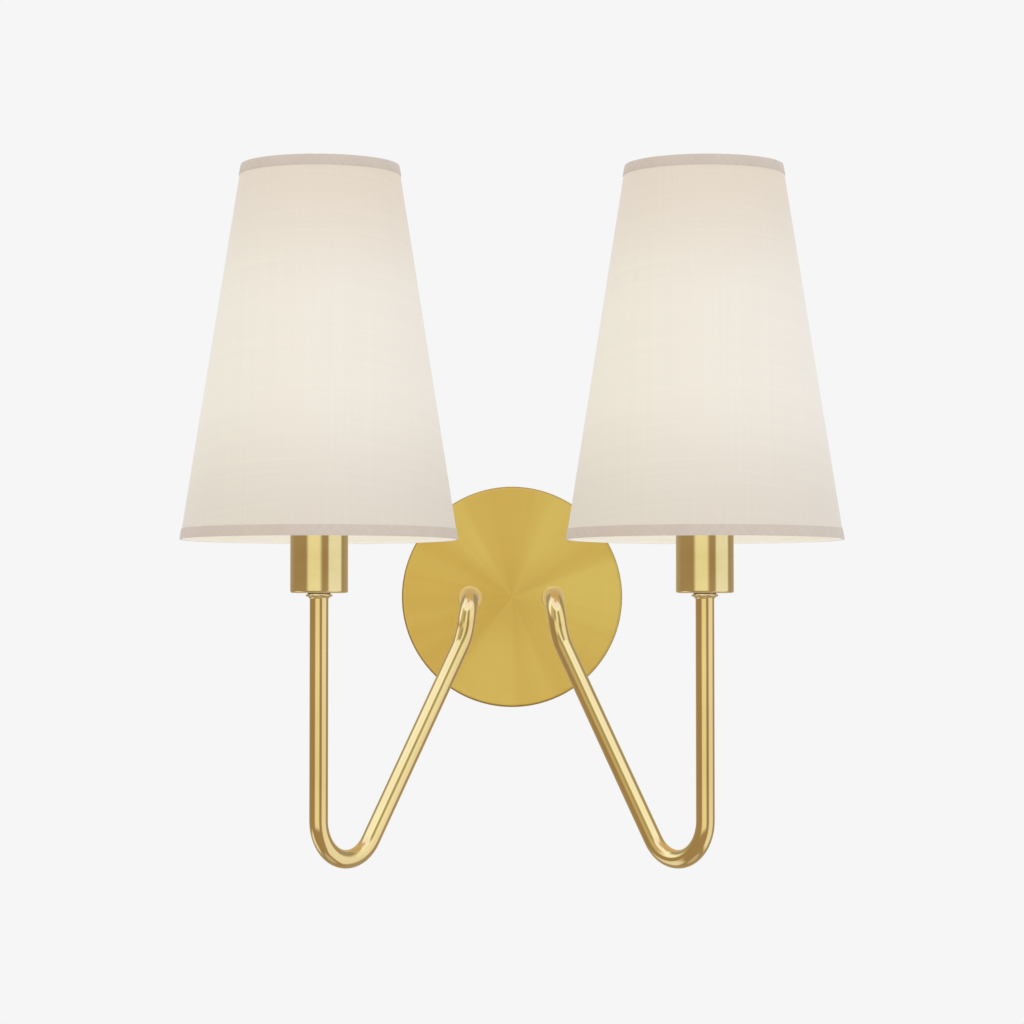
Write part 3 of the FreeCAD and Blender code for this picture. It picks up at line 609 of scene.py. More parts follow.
def spun_brass(name, base):
    """Brass disc brushed in circles, with painted reflections: soft lighter and darker sectors round its centre, and a
    painted dark line at its rim.
    """
    material, tree, shader = new_material(name, base, 1.0, 0.4)
    place = object_place(tree)
    flat = stretched(tree, place, (1, 0, 1))
    distance = length_of(tree, flat)
    outward = put(tree, "ShaderNodeVectorMath", {0: flat}, operation="NORMALIZE").outputs[0]
    rings = vector_of(tree, 0.0, maths(tree, "MULTIPLY", distance, 5200.0))
    spun = put(tree, "ShaderNodeVectorMath", {0: rings, 1: stretched(tree, outward, (2.5, 0, 2.5))}, operation="ADD")
    grain = brush_lines(tree, spun.outputs[0], stretched(tree, place, (14, 14, 14)))
    # Painted reflections: a slow tilt across the disc and noise round its centre make lighter and darker sectors of the
    # base colour, fading out near the centre.
    side = parts(tree, outward)
    wide = spread(tree, weigh(tree, side[0], 0.22, side[2], 0.07), -0.25, 0.25)
    painted_reflection_sectors = spread(tree, noise(tree, outward, 1.5, 3.0, 0.55), 0.35, 0.65, smooth=True)
    near = spread(tree, distance, 0.002, 0.04, 0.5, 1.0, smooth=True)
    fan = maths(tree, "MULTIPLY", weigh(tree, painted_reflection_sectors, 0.6, wide, 0.4), near)
    toned = blend(tree, fan, tint(base, 0.93, 0.84, 0.70), tint(base, 1.07, 1.11, 1.10))
    lined = blend(tree, maths(tree, "MULTIPLY", grain["Lines"], 0.08), toned, tint(base, 0.8, 0.76, 0.68))
    # Painted shade: a dark line round the rim stands in for the dim reflection of the rounded front edge.
    rim = sizes().plate_radius
    edge = spread(tree, distance, rim - 0.0012, rim - 0.0003, 0.0, 0.75, smooth=True)
    mixed = weigh(tree, grain["Lines"], 0.5, grain["Cloud"], 0.5)
    dress(tree, shader, blend(tree, edge, lined, tint(base, 0.50, 0.44, 0.42)),
          spread(tree, mixed, 0, 1, 0.36, 0.46), grain["Lines"], 0.05, 0.0002)
    return material


def plain_weave(tree, vector):
    """Weave on a sheet's flat map."""
    return use_group(tree, "Plain weave", make_weave_group, {"Vector": vector})


def shade_cloth(name, centre, strength=0.315):
    """Cream cloth lit from inside, on the cloth's own flat map."""
    base, glow = tone("cloth"), tone("glow")
    material, tree, shader = new_material(name, base, 0.0, 0.85, sheen_weight=0.4, emission_strength=strength)
    weave = plain_weave(tree, map_place(tree, "flat cloth"))
    threads = blend(tree, weave["Thread"], shade_of(base, 0.975), shade_of(base, 1.02))
    slubs = blend(tree, maths(tree, "MULTIPLY", weave["Slub"], 0.25), threads, tint(base, 1.06, 1.05, 1.02))
    place = parts(tree, centred(tree, centre))
    low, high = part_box("left_shade_fabric")
    rise = spread(tree, place[2], low.z, 0.125, 0.55, 1.0, smooth=True)
    fall = spread(tree, place[2], 0.160, high.z, smooth=True)
    # Painted light: towards +X of each shade the glow turns bluer, towards -X it stays warmer.
    warm = spread(tree, place[0], -0.07, 0.06, smooth=True)
    lit = blend(tree, warm, glow, tint(glow, 1.01, 1.0, 1.16))
    lit = blend(tree, fall, lit, tint(glow, 0.67, 0.56, 0.54))
    feed(tree, blend(tree, rise, BLACK, lit), shader["Emission Color"])
    dress(tree, shader, slubs, spread(tree, weave["Thread"], 0, 1, 0.8, 0.92), weave["Height"], 0.25, 0.0001)
    return material


def rim_tape(name, centre):
    """Folded tape of the same cloth, cut across its threads, and lit where it is turned inside."""
    base = tone("tape")
    material, tree, shader = new_material(name, base, 0.0, 0.85, sheen_weight=0.3, emission_strength=0.25)
    across_threads = {"Vector": map_place(tree, "flat cloth"), "Rotation": (0, 0, math.radians(45))}
    weave = plain_weave(tree, put(tree, "ShaderNodeMapping", across_threads).outputs["Vector"])
    threads = blend(tree, weave["Thread"], shade_of(base, 0.96), shade_of(base, 1.04))
    place = parts(tree, centred(tree, centre))
    # Painted shade: the tape is darker and warmer towards -X of each lamp and plain towards +X.
    across = spread(tree, place[0], -0.08, 0.08, smooth=True)
    toned = blend(tree, across, (0.97, 0.93, 0.90), (1.0, 1.0, 1.0))
    outer = blend(tree, 1.0, threads, toned, "MULTIPLY")
    radius_at = shade_line()[0]
    line = spread(tree, place[2], 0.0, 0.3, radius_at(0.0) - 0.0004, radius_at(0.3) - 0.0004)
    off = length_of(tree, vector_of(tree, place[0], place[1]))
    inside = spread(tree, maths(tree, "SUBTRACT", line, off), 0.0, 0.0005)
    lamplight = tint(tone("lamplight"), 1.0, 0.90, 0.65)
    feed(tree, blend(tree, inside, BLACK, lamplight), shader["Emission Color"])
    dress(tree, shader, blend(tree, inside, outer, tone("liner")),
          spread(tree, weave["Slub"], 0, 1, 0.82, 0.92), weave["Height"], 0.3, 0.0001)
    return material


def coated(name, base, metallic, rough, scale, strength, stain=0.06, **constants):
    """Plain coat, moulding or plating with a fine skin."""
    material, tree, shader = new_material(name, base, metallic, rough[0], **constants)
    mottle = use_group(tree, "Mottle", make_mottle_group, {"Scale": scale})
    toned = blend(tree, mottle["Stain"], shade_of(base, 1 + stain), shade_of(base, 1 - stain))
    dress(tree, shader, toned, spread(tree, mottle["Grain"], 0, 1, *rough), mottle["Grain"], strength, 0.0003)
    return material


def glowing(name, base, strength, centre, rough, low, high):
    """Coat that also gives off lamplight, brightest between two heights."""
    lamplight = tone("lamplight")
    material = coated(name, base, 0.0, rough, 900.0, 0.08, stain=0.02, emission_strength=strength)
    tree = material.node_tree
    span = (high - low) / 2
    height = parts(tree, centred(tree, centre))[2]
    off = maths(tree, "ABSOLUTE", maths(tree, "SUBTRACT", height, low + span))
    level = spread(tree, off, span * 0.4, span * 2.2, 1.0, 0.25, smooth=True)
    lit = blend(tree, level, tint(lamplight, 0.75, 0.68, 0.58), lamplight)
    feed(tree, lit, tree.nodes["Principled BSDF"].inputs["Emission Color"])
    return material


# ------------------------------------------------------------------ backplate

class SCONCE_OT_backplate(bpy.types.Operator):
    """Model the spun brass backplate"""

    bl_idname = "sconce.backplate"
    bl_label = "Backplate"

    def execute(self, context):
        size = sizes()
        outer, depth, wall = size.plate_radius, size.plate_depth, size.plate_wall
        inner = outer - wall
        pan = turn_piece("backplate_pan", [
            (0, depth - wall), (inner, depth - wall), (inner, 0), (outer, 0), (outer, 0.001), (outer, depth - 0.0025),
            (outer, depth), (outer - 0.0025, depth), (0, depth),
        ], 256)
        round_edges(pan, at_radius(outer, depth), size.plate_round, 8)
        round_edges(pan, at_radius(outer, 0), 0.0002, 2)
        round_edges(pan, at_radius(inner, depth - wall), 0.0004, 3)
        tidy_mesh(pan)
        face_room(pan)
        for side in SIDES:
            place = middle(side + "_wall_collar")
            behind, ahead = (Vector((place.x, y, place.z)) for y in (0.005, -0.04))
            cut_away(pan, rod_between("arm_hole", behind, ahead, size.thread_radius + CLEARANCE, 48))
        below, above = (Vector((0, middle("canopy_set_screws").y, z)) for z in (-0.1, 0.1))
        screw_hole = 0.00215
        cut_away(pan, rod_between("screw_holes", below, above, screw_hole, 32))
        smooth_shade(pan)
        fit(pan, "root", "satin_brass", spun_brass("Spun brass", tone("plate_brass")), "backplate")
        return {"FINISHED"}


# ------------------------------------------------------------------ arms

def arm_route(side):
    """Corners of an arm: top of the tube, foot of the U-bend, knee, elbow and wall."""
    size = sizes()
    sign = SIDES[side]
    top = lamp_axis(side)
    top.z = -0.0003
    place = middle(side + "_wall_collar")
    inward = Vector((-sign * math.cos(size.arm_heading), math.sin(size.arm_heading), 0))
    leg = inward * math.sin(size.leg_slant) + Vector((0, 0, math.cos(size.leg_slant)))
    drop = size.bend_radius * (1 + math.cos(size.leg_slant)) / math.sin(size.leg_slant)
    foot = Vector((top.x, top.y, -size.bend_height - drop))
    knee = foot + leg * ((-size.knee_depth - foot.z) / leg.z)
    elbow = Vector((place.x, -size.elbow_reach, place.z))
    wall = Vector((place.x, -size.plate_depth, place.z))
    return [top, foot, knee, elbow, wall], [size.bend_radius, size.knee_radius, size.elbow_radius]


def map_tube(piece, distances, segments, radius):
    """Writes the tube's own map: round the tube and along it, in metres."""
    mesh = bmesh.new()
    mesh.from_mesh(piece.data)
    mesh.verts.ensure_lookup_table()
    around = {mesh.verts[i]: i for i in range(segments)}
    waiting = list(around)
    while waiting:
        vert = waiting.pop()
        for edge in vert.link_edges:
            other = edge.other_vert(vert)
            if other not in around and other.index // segments != vert.index // segments:
                around[other] = around[vert]
                waiting.append(other)
    layer = mesh.loops.layers.uv.new("grain")
    step = TURN * radius / segments
    for face in mesh.faces:
        turns = [around[loop.vert] for loop in face.loops]
        wraps = max(turns) - min(turns) > segments / 2
        for loop, turn in zip(face.loops, turns):
            turn += segments if wraps and turn < segments / 2 else 0
            loop[layer].uv = (turn * step, distances[loop.vert.index // segments])
    mesh.to_mesh(piece.data)
    mesh.free()


def draw_tube(name, corners, bends, radius, segments=TUBE_SIDES, bend_steps=22, thread=None, runs=(0, 0)):
    """Tube drawn out along its straight runs and spun round its bends, with a thread at each end if asked.

    Gives the open skin, and how far along the tube each of its rings lies.
    """
    thread = thread or radius
    here = corners[0] + (corners[0] - corners[1]).normalized() * runs[0]
    piece = start_ring(name, thread, here.z, segments)
    bpy.ops.transform.translate(value=(here.x, here.y, 0))
    distances, ledge = [0.0], 0.0002

    def run_to(point):
        nonlocal here
        if (point - here).length > SAME_POINT:
            draw_out(point - here)
            distances.append(distances[-1] + (point - here).length)
            here = point

    def resize(scale):
        bpy.ops.transform.resize(value=(scale, scale, scale), center_override=tuple(here))

    def step_to(new_radius, old_radius):
        if new_radius != old_radius:
            draw_out((0, 0, 0))
            distances.append(distances[-1] + ledge)
            resize(new_radius / old_radius)

    def cut_thread(end):
        pitch, root = 0.001, 0.93
        way = (end - here).normalized() * pitch / 2
        for _ in range(int((end - here).length / pitch)):
            run_to(here + way)
            resize(root)
            run_to(here + way)
            resize(1 / root)
        run_to(end)

    cut_thread(corners[0])
    step_to(radius, thread)
    for before, corner, after, bend in zip(corners, corners[1:], corners[2:], bends):
        back = (before - corner).normalized()
        ahead = (after - corner).normalized()
        half = back.angle(ahead) / 2
        sweep = math.pi - 2 * half
        run_to(corner + back * (bend / math.tan(half)))
        centre = corner + (back + ahead).normalized() * (bend / math.sin(half))
        axis = (-back).cross(ahead).normalized()
        bpy.ops.mesh.spin(steps=bend_steps, angle=-sweep, center=tuple(centre), axis=tuple(axis))
        start = distances[-1]
        distances.extend(start + bend * sweep * (i + 1) / bend_steps for i in range(bend_steps))
        here = corner + ahead * (bend / math.tan(half))
    run_to(corners[-1])
    step_to(thread, radius)
    cut_thread(corners[-1] + (corners[-1] - corners[-2]).normalized() * runs[1])
    close_mesh()
    return piece, distances


def collar_piece(name):
    """Round-edged ring at the wall end of an arm."""
    low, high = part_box("left_wall_collar")
    inner, outer, depth = sizes().tube_radius, reach("left_wall_collar"), high.y - low.y
    lip, edge = 0.0002, 0.0007
    piece = turn_piece(name, [
        (inner, 0), (outer, 0), (outer, depth * 0.5),
        *arc((outer - edge, depth - edge), edge, 0, 90, 6), (outer - 0.0009, depth),
        (inner + 0.0004, depth), *arc((inner + lip, depth - lip), lip, 90, 180, 3), (inner, 0),
    ], 96)
    tidy_mesh(piece)
    face_room(piece)
    return piece


def neck_piece(name):
    """Small ring that flares from the tube up to the cup."""
    low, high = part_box("left_neck_ring")
    inner, outer, height = sizes().tube_radius, reach("left_neck_ring"), high.z - low.z
    piece = turn_piece(name, [
        (inner, 0), (inner + 0.0002, 0), (inner + 0.0004, height * 0.18), (inner + 0.0009, height * 0.36),
        (inner + 0.0016, height * 0.48), (outer - 0.0002, height * 0.6), (outer, height * 0.72),
        (outer, height * 0.86), (outer - 0.0003, height), (inner, height), (inner, 0),
    ], 96)
    tidy_mesh(piece)
    move_piece(piece, (0, 0, low.z))
    return piece


class SCONCE_OT_arms(bpy.types.Operator):
    """Model both bent arms with their wall collars and neck rings"""

    bl_idname = "sconce.arms"
    bl_label = "Arms"

    def execute(self, context):
        size = sizes()
        tube_finish = drawn_brass("Drawn brass", tone("tube_brass"))
        for side in SIDES:
            corners, bends = arm_route(side)
            tube, distances = draw_tube(side + "_arm", corners, bends, size.tube_radius,
                                        thread=size.thread_radius, runs=THREAD_RUNS)
            map_tube(tube, distances, TUBE_SIDES, size.tube_radius)
            face_outwards(tube)
            thicken(tube, size.tube_wall * 0.95, -1)
            smooth_shade(tube)
            fit(tube, "root", "satin_brass", tube_finish, side + "_arm_tube")
            place = middle(side + "_wall_collar")
            collar = collar_piece(side + "_collar")
            move_piece(collar, (place.x, -size.plate_depth, place.z))
            base = tint(tone("cup_brass"), 1.10, 0.98, 0.74)
            finish = brushed_brass(side.title() + " collar brass", base, lambda tree: centred(tree, place),
                                   (700, 900, 700), (60, 60, 60), rough=(0.33, 0.42))
            fit(collar, "root", "satin_brass", finish, side + "_wall_collar")
            neck = neck_piece(side + "_neck")
            move_piece(neck, lamp_axis(side))
            finish = turned_brass(side.title() + " neck brass", tone("cup_brass"), lamp_axis(side))
            fit(neck, "root", "satin_brass", finish, side + "_neck_ring")
        return {"FINISHED"}


# ------------------------------------------------------------------ cups and lampholders

class SCONCE_OT_cups(bpy.types.Operator):
    """Model the two brushed cups"""

    bl_idname = "sconce.cups"
    bl_label = "Cups"

    def execute(self, context):
        low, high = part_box("left_socket_cup")
        wall = sizes().cup_wall
        hole = sizes().thread_radius + CLEARANCE
        outer, floor = reach("left_socket_cup"), low.z + wall * 1.2
        inner = outer - wall
        cup = turn_piece("left_cup", [
            (hole, low.z), (outer - 0.0018, low.z), (outer, low.z), (outer, low.z + 0.0018),
            (outer, high.z - 0.0008), (outer, high.z), (inner, high.z), (inner, floor), (hole, floor), (hole, low.z),
        ], 160)
        round_edges(cup, at_radius(outer, low.z), 0.0011, 6)
        round_edges(cup, at_radius(outer, high.z), 0.00025, 3)
        round_edges(cup, at_radius(inner, floor), 0.0008, 4)
        tidy_mesh(cup)
        for side, piece in on_both_lamps(cup):
            finish = turned_brass(side.title() + " cup brass", tone("cup_brass"), lamp_axis(side))
            fit(piece, "root", "satin_brass", finish, side + "_socket_cup")
        return {"FINISHED"}


class SCONCE_OT_lampholders(bpy.types.Operator):
    """Finish the lampholders and what holds the cups, arms and shades"""

    bl_idname = "sconce.lampholders"
    bl_label = "Lampholders"

    def execute(self, context):
        ivory = coated("Ivory moulding", (0.80, 0.76, 0.66), 0.0, (0.38, 0.5), 1500.0, 0.12)
        spring = coated("Spring brass", (0.86, 0.72, 0.42), 1.0, (0.2, 0.32), 700.0, 0.08)
        zinc = coated("Bright zinc", (0.60, 0.61, 0.62), 1.0, (0.26, 0.42), 260.0, 0.12, stain=0.12)
        # Painted shadow: the neck washers get a dark coat that stands for the shade in the gap between each cup and its
        # neck ring.
        painted_gap_shadow = coated("Dark bronze", (0.26, 0.17, 0.06), 1.0, (0.35, 0.5), 700.0, 0.1)
        refinish(ivory, "_lampholder_body")
        refinish(spring, "_lampholder_shell", "_lampholder_contact", "_shade_ring")
        refinish(zinc, "cup_lock_nuts", "terminal_screws", "wall_lock_nuts", "wall_lock_washers", "wall_crossbar",
                 "canopy_set_screws", "_shade_washer")
        refinish(painted_gap_shadow, "neck_washers")
        return {"FINISHED"}


# ------------------------------------------------------------------ shades

def shade_line():
    """Radius of a shade's outer face at a height, from the CAD cloth's two rims."""
    low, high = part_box("left_shade_fabric")
    centre = lamp_axis("left")
    points = [(math.hypot(v.co.x - centre.x, v.co.y - centre.y), v.co.z)
              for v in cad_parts["left_shade_fabric"].data.vertices]
    bottom = max(radius for radius, z in points if abs(z - low.z) < 1e-5)
    top = max(radius for radius, z in points if abs(z - high.z) < 1e-5)

    def radius_at(z):
        return bottom + (top - bottom) * (z - low.z) / (high.z - low.z)

    return radius_at, low.z, high.z


def fan_of(radius_at, low, high):
    """A rolled sheet laid flat: how long its slant is, and how much of a full turn the fan takes."""
    run = radius_at(low) - radius_at(high)
    slant = math.hypot(run, high - low)
    return slant, run / slant


def map_cone(piece, radius_at, low, high):
    """Writes the flat map of a rolled sheet: a fan laid flat, in metres, with its seam at the back."""
    slope = fan_of(radius_at, low, high)[1]
    mesh = bmesh.new()
    mesh.from_mesh(piece.data)
    layer = mesh.loops.layers.uv.new("flat cloth")
    for face in mesh.faces:
        middle_turn = math.atan2(face.calc_center_median().x, -face.calc_center_median().y)
        for loop in face.loops:
            co = loop.vert.co
            turn = math.atan2(co.x, -co.y)
            turn += TURN * round((middle_turn - turn) / TURN)
            reach_out = radius_at(co.z) / slope
            loop[layer].uv = (reach_out * math.sin(turn * slope), reach_out * math.cos(turn * slope))
    mesh.to_mesh(piece.data)
    mesh.free()


def skin_piece(name, radius_at, low, high, inset, thickness):
    """Rolled sheet of the shade as a closed thin wall."""
    rows = 14
    levels = [low + (high - low) * i / rows for i in range(rows + 1)]
    profile = [(radius_at(z) - inset, z) for z in levels]
    profile += [(radius_at(z) - inset - thickness, z) for z in reversed(levels)]
    profile.append(profile[0])
    piece = turn_piece(name, profile, SHADE_SIDES)
    tidy_mesh(piece)
    map_cone(piece, radius_at, low, high)
    return piece


def seam_piece(name, radius_at, low, high):
    """Lapped strip that closes the cloth at the back of a shade."""
    width, lift, thickness = sizes().seam_width, 0.00004, 0.0002
    piece = add_mesh(name, bpy.ops.mesh.primitive_grid_add, x_subdivisions=8, y_subdivisions=24, size=1)
    for vert in piece.data.vertices:
        z = low + (high - low) * (vert.co.y + 0.5)
        radius = radius_at(z) + lift
        turn = vert.co.x * width / radius
        vert.co = (radius * math.sin(turn), radius * math.cos(turn), z)
    face_outwards(piece)
    if piece.data.polygons[0].normal.y < 0:
        open_mesh(piece)
        bpy.ops.mesh.flip_normals()
        close_mesh()
    thicken(piece, thickness, 1)
    tidy_mesh(piece)
    map_cone(piece, radius_at, low, high)
    return piece


def tape_piece(name, radius_at, rim, inward, fabric, liner):
    """Tape folded over a rim, with a roll round the rim wire."""
    size = sizes()
    tape, roll = size.tape, size.tape_roll
    skin = fabric + liner
    inner_height, fold_height = 0.005, 0.0016
    band, turn_in, fold = (rim + inward * height for height in (size.tape_height, inner_height, fold_height))
    foot = radius_at(rim)
    roll_centre = (radius_at(fold) - skin - roll * 0.42, rim + inward * roll * 0.55)
    start, end = (0, -180) if inward > 0 else (0, 180)
    roll_points = arc(roll_centre, roll * 0.55, start, end, 12)
    profile = [
        (radius_at(band), band), (radius_at(band) + tape * 0.7, band), (radius_at(band) + tape, band - inward * 0.0003),
        (radius_at(fold) + tape, fold), (foot + tape * 0.8, rim + inward * 0.0002), (foot, rim),
        *roll_points[3:],
        (radius_at(turn_in) - skin - tape, turn_in - inward * 0.0008), (radius_at(turn_in) - skin - tape, turn_in),
        (radius_at(turn_in) - skin, turn_in), (radius_at(band) - skin * 0.5, turn_in), (radius_at(band), band),
    ]
    piece = turn_piece(name, profile, SHADE_SIDES)
    tidy_mesh(piece, 50)
    map_cone(piece, radius_at, min(rim, band), max(rim, band))
    return piece


class SCONCE_OT_shades(bpy.types.Operator):
    """Model the cloth, liner, seam and rim tapes of both shades"""

    bl_idname = "sconce.shades"
    bl_label = "Shades"

    def execute(self, context):
        size = sizes()
        radius_at, low, high = shade_line()
        liner = 0.0005
        slant, slope = fan_of(radius_at, low, high)
        cloth_area = math.pi * (radius_at(low) + radius_at(high)) * slant
        flat_width = 2 * radius_at(low) / slope * math.sin(math.pi * slope)
        flat_height = radius_at(low) / slope - radius_at(high) / slope * math.cos(math.pi * slope)
        cloth = skin_piece("left_cloth", radius_at, low, high, 0, size.fabric)
        inner = skin_piece("left_liner", radius_at, low, high, size.fabric, liner)
        under = size.tape_height - 0.002
        seam = seam_piece("left_cloth_seam", radius_at, low + under, high - under)
        bottom = tape_piece("left_bottom_tape", radius_at, low - size.tape, 1, size.fabric, liner)
        top = tape_piece("left_top_tape", radius_at, high + size.tape, -1, size.fabric, liner)
        shades = {"left": (cloth, inner, seam, bottom, top)}
        shades["right"] = tuple(copy_piece(p, p.name.replace("left", "right")) for p in shades["left"])
        for side, (cloth, inner, seam, bottom, top) in shades.items():
            axis = lamp_axis(side)
            for piece in (cloth, inner, seam, bottom, top):
                move_piece(piece, axis)
            body = side + "_shade"
            tape_finish = rim_tape(side.title() + " rim tape", axis)
            finish = shade_cloth(side.title() + " shade cloth", axis)
            fit(cloth, body, "shade_fabric", finish, side + "_shade_fabric")
            fit(seam, body, "shade_fabric", shade_cloth(side.title() + " lapped cloth", axis, 0.25))
            sheet = glowing(side.title() + " shade liner", tone("liner"), 0.16, axis,
                            (0.5, 0.62), 0.06, 0.17)
            fit(inner, body, "shade_liner", sheet, side + "_shade_liner")
            fit(bottom, body, "trim_fabric", tape_finish, side + "_shade_bottom_trim")
            fit(top, body, "trim_fabric", tape_finish, side + "_shade_top_trim")
        return {"FINISHED"}


class SCONCE_OT_fitters(bpy.types.Operator):
    """Model the wire fitters and finish the rims' wires"""

    bl_idname = "sconce.fitters"
    bl_label = "Fitters"

    def execute(self, context):
        size = sizes()
        low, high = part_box("left_shade_fitter")
        radius = size.spoke_radius
        hoop_z = high.z - radius
        hoop_radius = reach("left_shade_fitter") - radius
        hub_out, hub_in = 0.021, 0.0145
        hub_high = low.z + radius * 2 + 0.0001
        hub_low = hub_high - 0.0012
        level = low.z + radius
        hub = turn_piece("hub", [
            (hub_in, hub_low), (hub_out, hub_low), (hub_out, hub_high), (hub_in, hub_high), (hub_in, hub_low),
        ], 96)
        round_edges(hub, at_radius(hub_out, hub_high), 0.0003, 2)
        hoop = add_mesh("hoop", bpy.ops.mesh.primitive_circle_add, vertices=20, radius=radius,
                        location=(hoop_radius, 0, hoop_z), rotation=(math.pi / 2, 0, 0))
        settle(hoop)
        open_mesh(hoop)
        bpy.ops.mesh.spin(steps=144, angle=TURN, center=(0, 0, hoop_z), axis=(0, 0, 1))
        close_mesh()
        tidy_mesh(hoop, 60)
        route = [Vector((-level, 0, size.spoke_foot)), Vector((-level, 0, size.spoke_bend)),
                 Vector((-hoop_z, 0, hoop_radius))]
        spoke = draw_tube("spoke", route, [0.012], radius, 20, 8)[0]
        open_mesh(spoke)
        bpy.ops.mesh.fill_holes(sides=0)
        close_mesh()
        spoke.rotation_euler = (0, math.pi / 2, 0)
        settle(spoke)
        beads = [spoke]
        for place, swell in ((Vector((hub_out - 0.001, 0, level)), 1.35), (Vector((hoop_radius, 0, hoop_z)), 1.3)):
            bead = add_mesh("weld", bpy.ops.mesh.primitive_uv_sphere_add, segments=16, ring_count=10,
                            radius=radius * swell, location=place)
            bead.scale = (1.4, 1.1, 0.72)
            settle(bead)
            beads.append(bead)
        spoke = join_pieces("spoke", beads)
        tidy_mesh(spoke, 50)
        pieces = [hub, hoop]
        for degrees in (90, 210, 330):
            copy = copy_piece(spoke, "spoke_copy")
            copy.rotation_euler = (0, 0, math.radians(degrees))
            settle(copy)
            pieces.append(copy)
        bpy.data.objects.remove(spoke)
        fitter = join_pieces("left_fitter", pieces)
        smooth_shade(fitter, 35)
        coat = coated("White coat", (0.82, 0.81, 0.78), 0.0, (0.32, 0.45), 1100.0, 0.15, coat_weight=0.1)
        refinish(coat, "_shade_top_wire", "_shade_bottom_wire")
        for side, piece in on_both_lamps(fitter):
            fit(piece, side + "_shade", "white_wire", coat, side + "_shade_fitter")
        return {"FINISHED"}


# ------------------------------------------------------------------ bulbs

class SCONCE_OT_bulbs(bpy.types.Operator):
    """Model the frosted bulbs and finish their caps"""

    bl_idname = "sconce.bulbs"
    bl_label = "Bulbs"

    def execute(self, context):
        low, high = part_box("left_bulb_glass")
        widest = reach("left_bulb_glass")
        neck, shoulder = 0.0055, 0.058
        span = high.z - shoulder
        shape = [(neck, 0.0), (neck * 1.12, 0.03), (widest * 0.50, 0.08), (widest * 0.68, 0.14),
                 (widest * 0.86, 0.22), (widest * 0.97, 0.31), (widest, 0.38), (widest * 0.985, 0.46),
                 (widest * 0.93, 0.56), (widest * 0.83, 0.66), (widest * 0.68, 0.77), (widest * 0.52, 0.86),
                 (widest * 0.36, 0.93), (widest * 0.18, 0.98)]
        profile = [(neck, low.z)] + [(radius, shoulder + span * share) for radius, share in shape]
        glass = turn_piece("left_bulb", profile + [(0, high.z)], 48)
        apply_modifier(glass, "SUBSURF", levels=1, render_levels=1)
        tidy_mesh(glass, 60)
        thicken(glass, 0.0007, -1)
        smooth_shade(glass, 60)
        refinish(coated("Bright nickel", (0.76, 0.75, 0.72), 1.0, (0.16, 0.28), 800.0, 0.06), "_bulb_cap")
        refinish(coated("Dull solder", (0.52, 0.52, 0.53), 1.0, (0.45, 0.6), 900.0, 0.3), "_bulb_contact")
        refinish(coated("Black glass", (0.015, 0.015, 0.018), 0.0, (0.08, 0.16), 400.0, 0.03), "_bulb_insulator")
        refinish(coated("Clear glass", (0.93, 0.95, 0.95), 0.0, (0.04, 0.08), 300.0, 0.02,
                        transmission_weight=0.9, ior=1.5), "_bulb_stem")
        for side, piece in on_both_lamps(glass):
            axis = lamp_axis(side)
            frosted = glowing(side.title() + " frosted bulb", (0.62, 0.61, 0.59), 0.42, axis,
                              (0.42, 0.55), 0.076, 0.118)
            fit(piece, side + "_bulb", "frosted_glass", frosted, side + "_bulb_glass")
            sticks = glowing(side.title() + " filament", (1.0, 0.8, 0.5), 6.0, axis, (0.5, 0.6), 0.07, 0.12)
            refinish(sticks, side + "_bulb_filament")
        return {"FINISHED"}


# ------------------------------------------------------------------ fixings behind the plate

class SCONCE_OT_fixings(bpy.types.Operator):
    """Finish the wires, connectors and earth screw behind the backplate"""

    bl_idname = "sconce.fixings"
    bl_label = "Fixings"

    def execute(self, context):
        for name, base, metallic, rough, scale, bump, node in (
            ("Green screw", (0.05, 0.30, 0.09), 0.8, (0.3, 0.42), 500.0, 0.1, "ground_screw"),
            ("Green wire", (0.03, 0.25, 0.07), 0.0, (0.3, 0.4), 900.0, 0.1, "ground_wire"),
            ("Orange connector", (0.75, 0.22, 0.03), 0.0, (0.4, 0.52), 900.0, 0.2, "wire_connectors"),
            ("Black wire", (0.02, 0.02, 0.022), 0.0, (0.3, 0.42), 900.0, 0.1, "_live_wire"),
            ("White wire", (0.74, 0.73, 0.70), 0.0, (0.3, 0.42), 900.0, 0.1, "_neutral_wire"),
        ):
            refinish(coated(name, base, metallic, rough, scale, bump), node)
        return {"FINISHED"}


# ------------------------------------------------------------------ stage

def round_the_room(tree, bearing, stops):
    """Tones of the studio round the compass at one height, from stops of degrees and colour."""
    ramp = put(tree, "ShaderNodeValToRGB", {"Fac": spread(tree, bearing, -math.pi, math.pi)})
    elements = ramp.color_ramp.elements
    for index, (degrees, light) in enumerate(stops):
        position = (degrees + 180) / 360
        stop = elements[index] if index < 2 else elements.new(position)
        stop.position = position
        stop.color = (*light, 1)
    return ramp.outputs["Color"]


def seen_directly(tree):
    """One for what the camera sees, also in metal and through glass."""
    path = put(tree, "ShaderNodeLightPath").outputs
    metal_or_glass = maths(tree, "MAXIMUM", path["Is Glossy Ray"], path["Is Transmission Ray"])
    return maths(tree, "MAXIMUM", path["Is Camera Ray"], metal_or_glass)


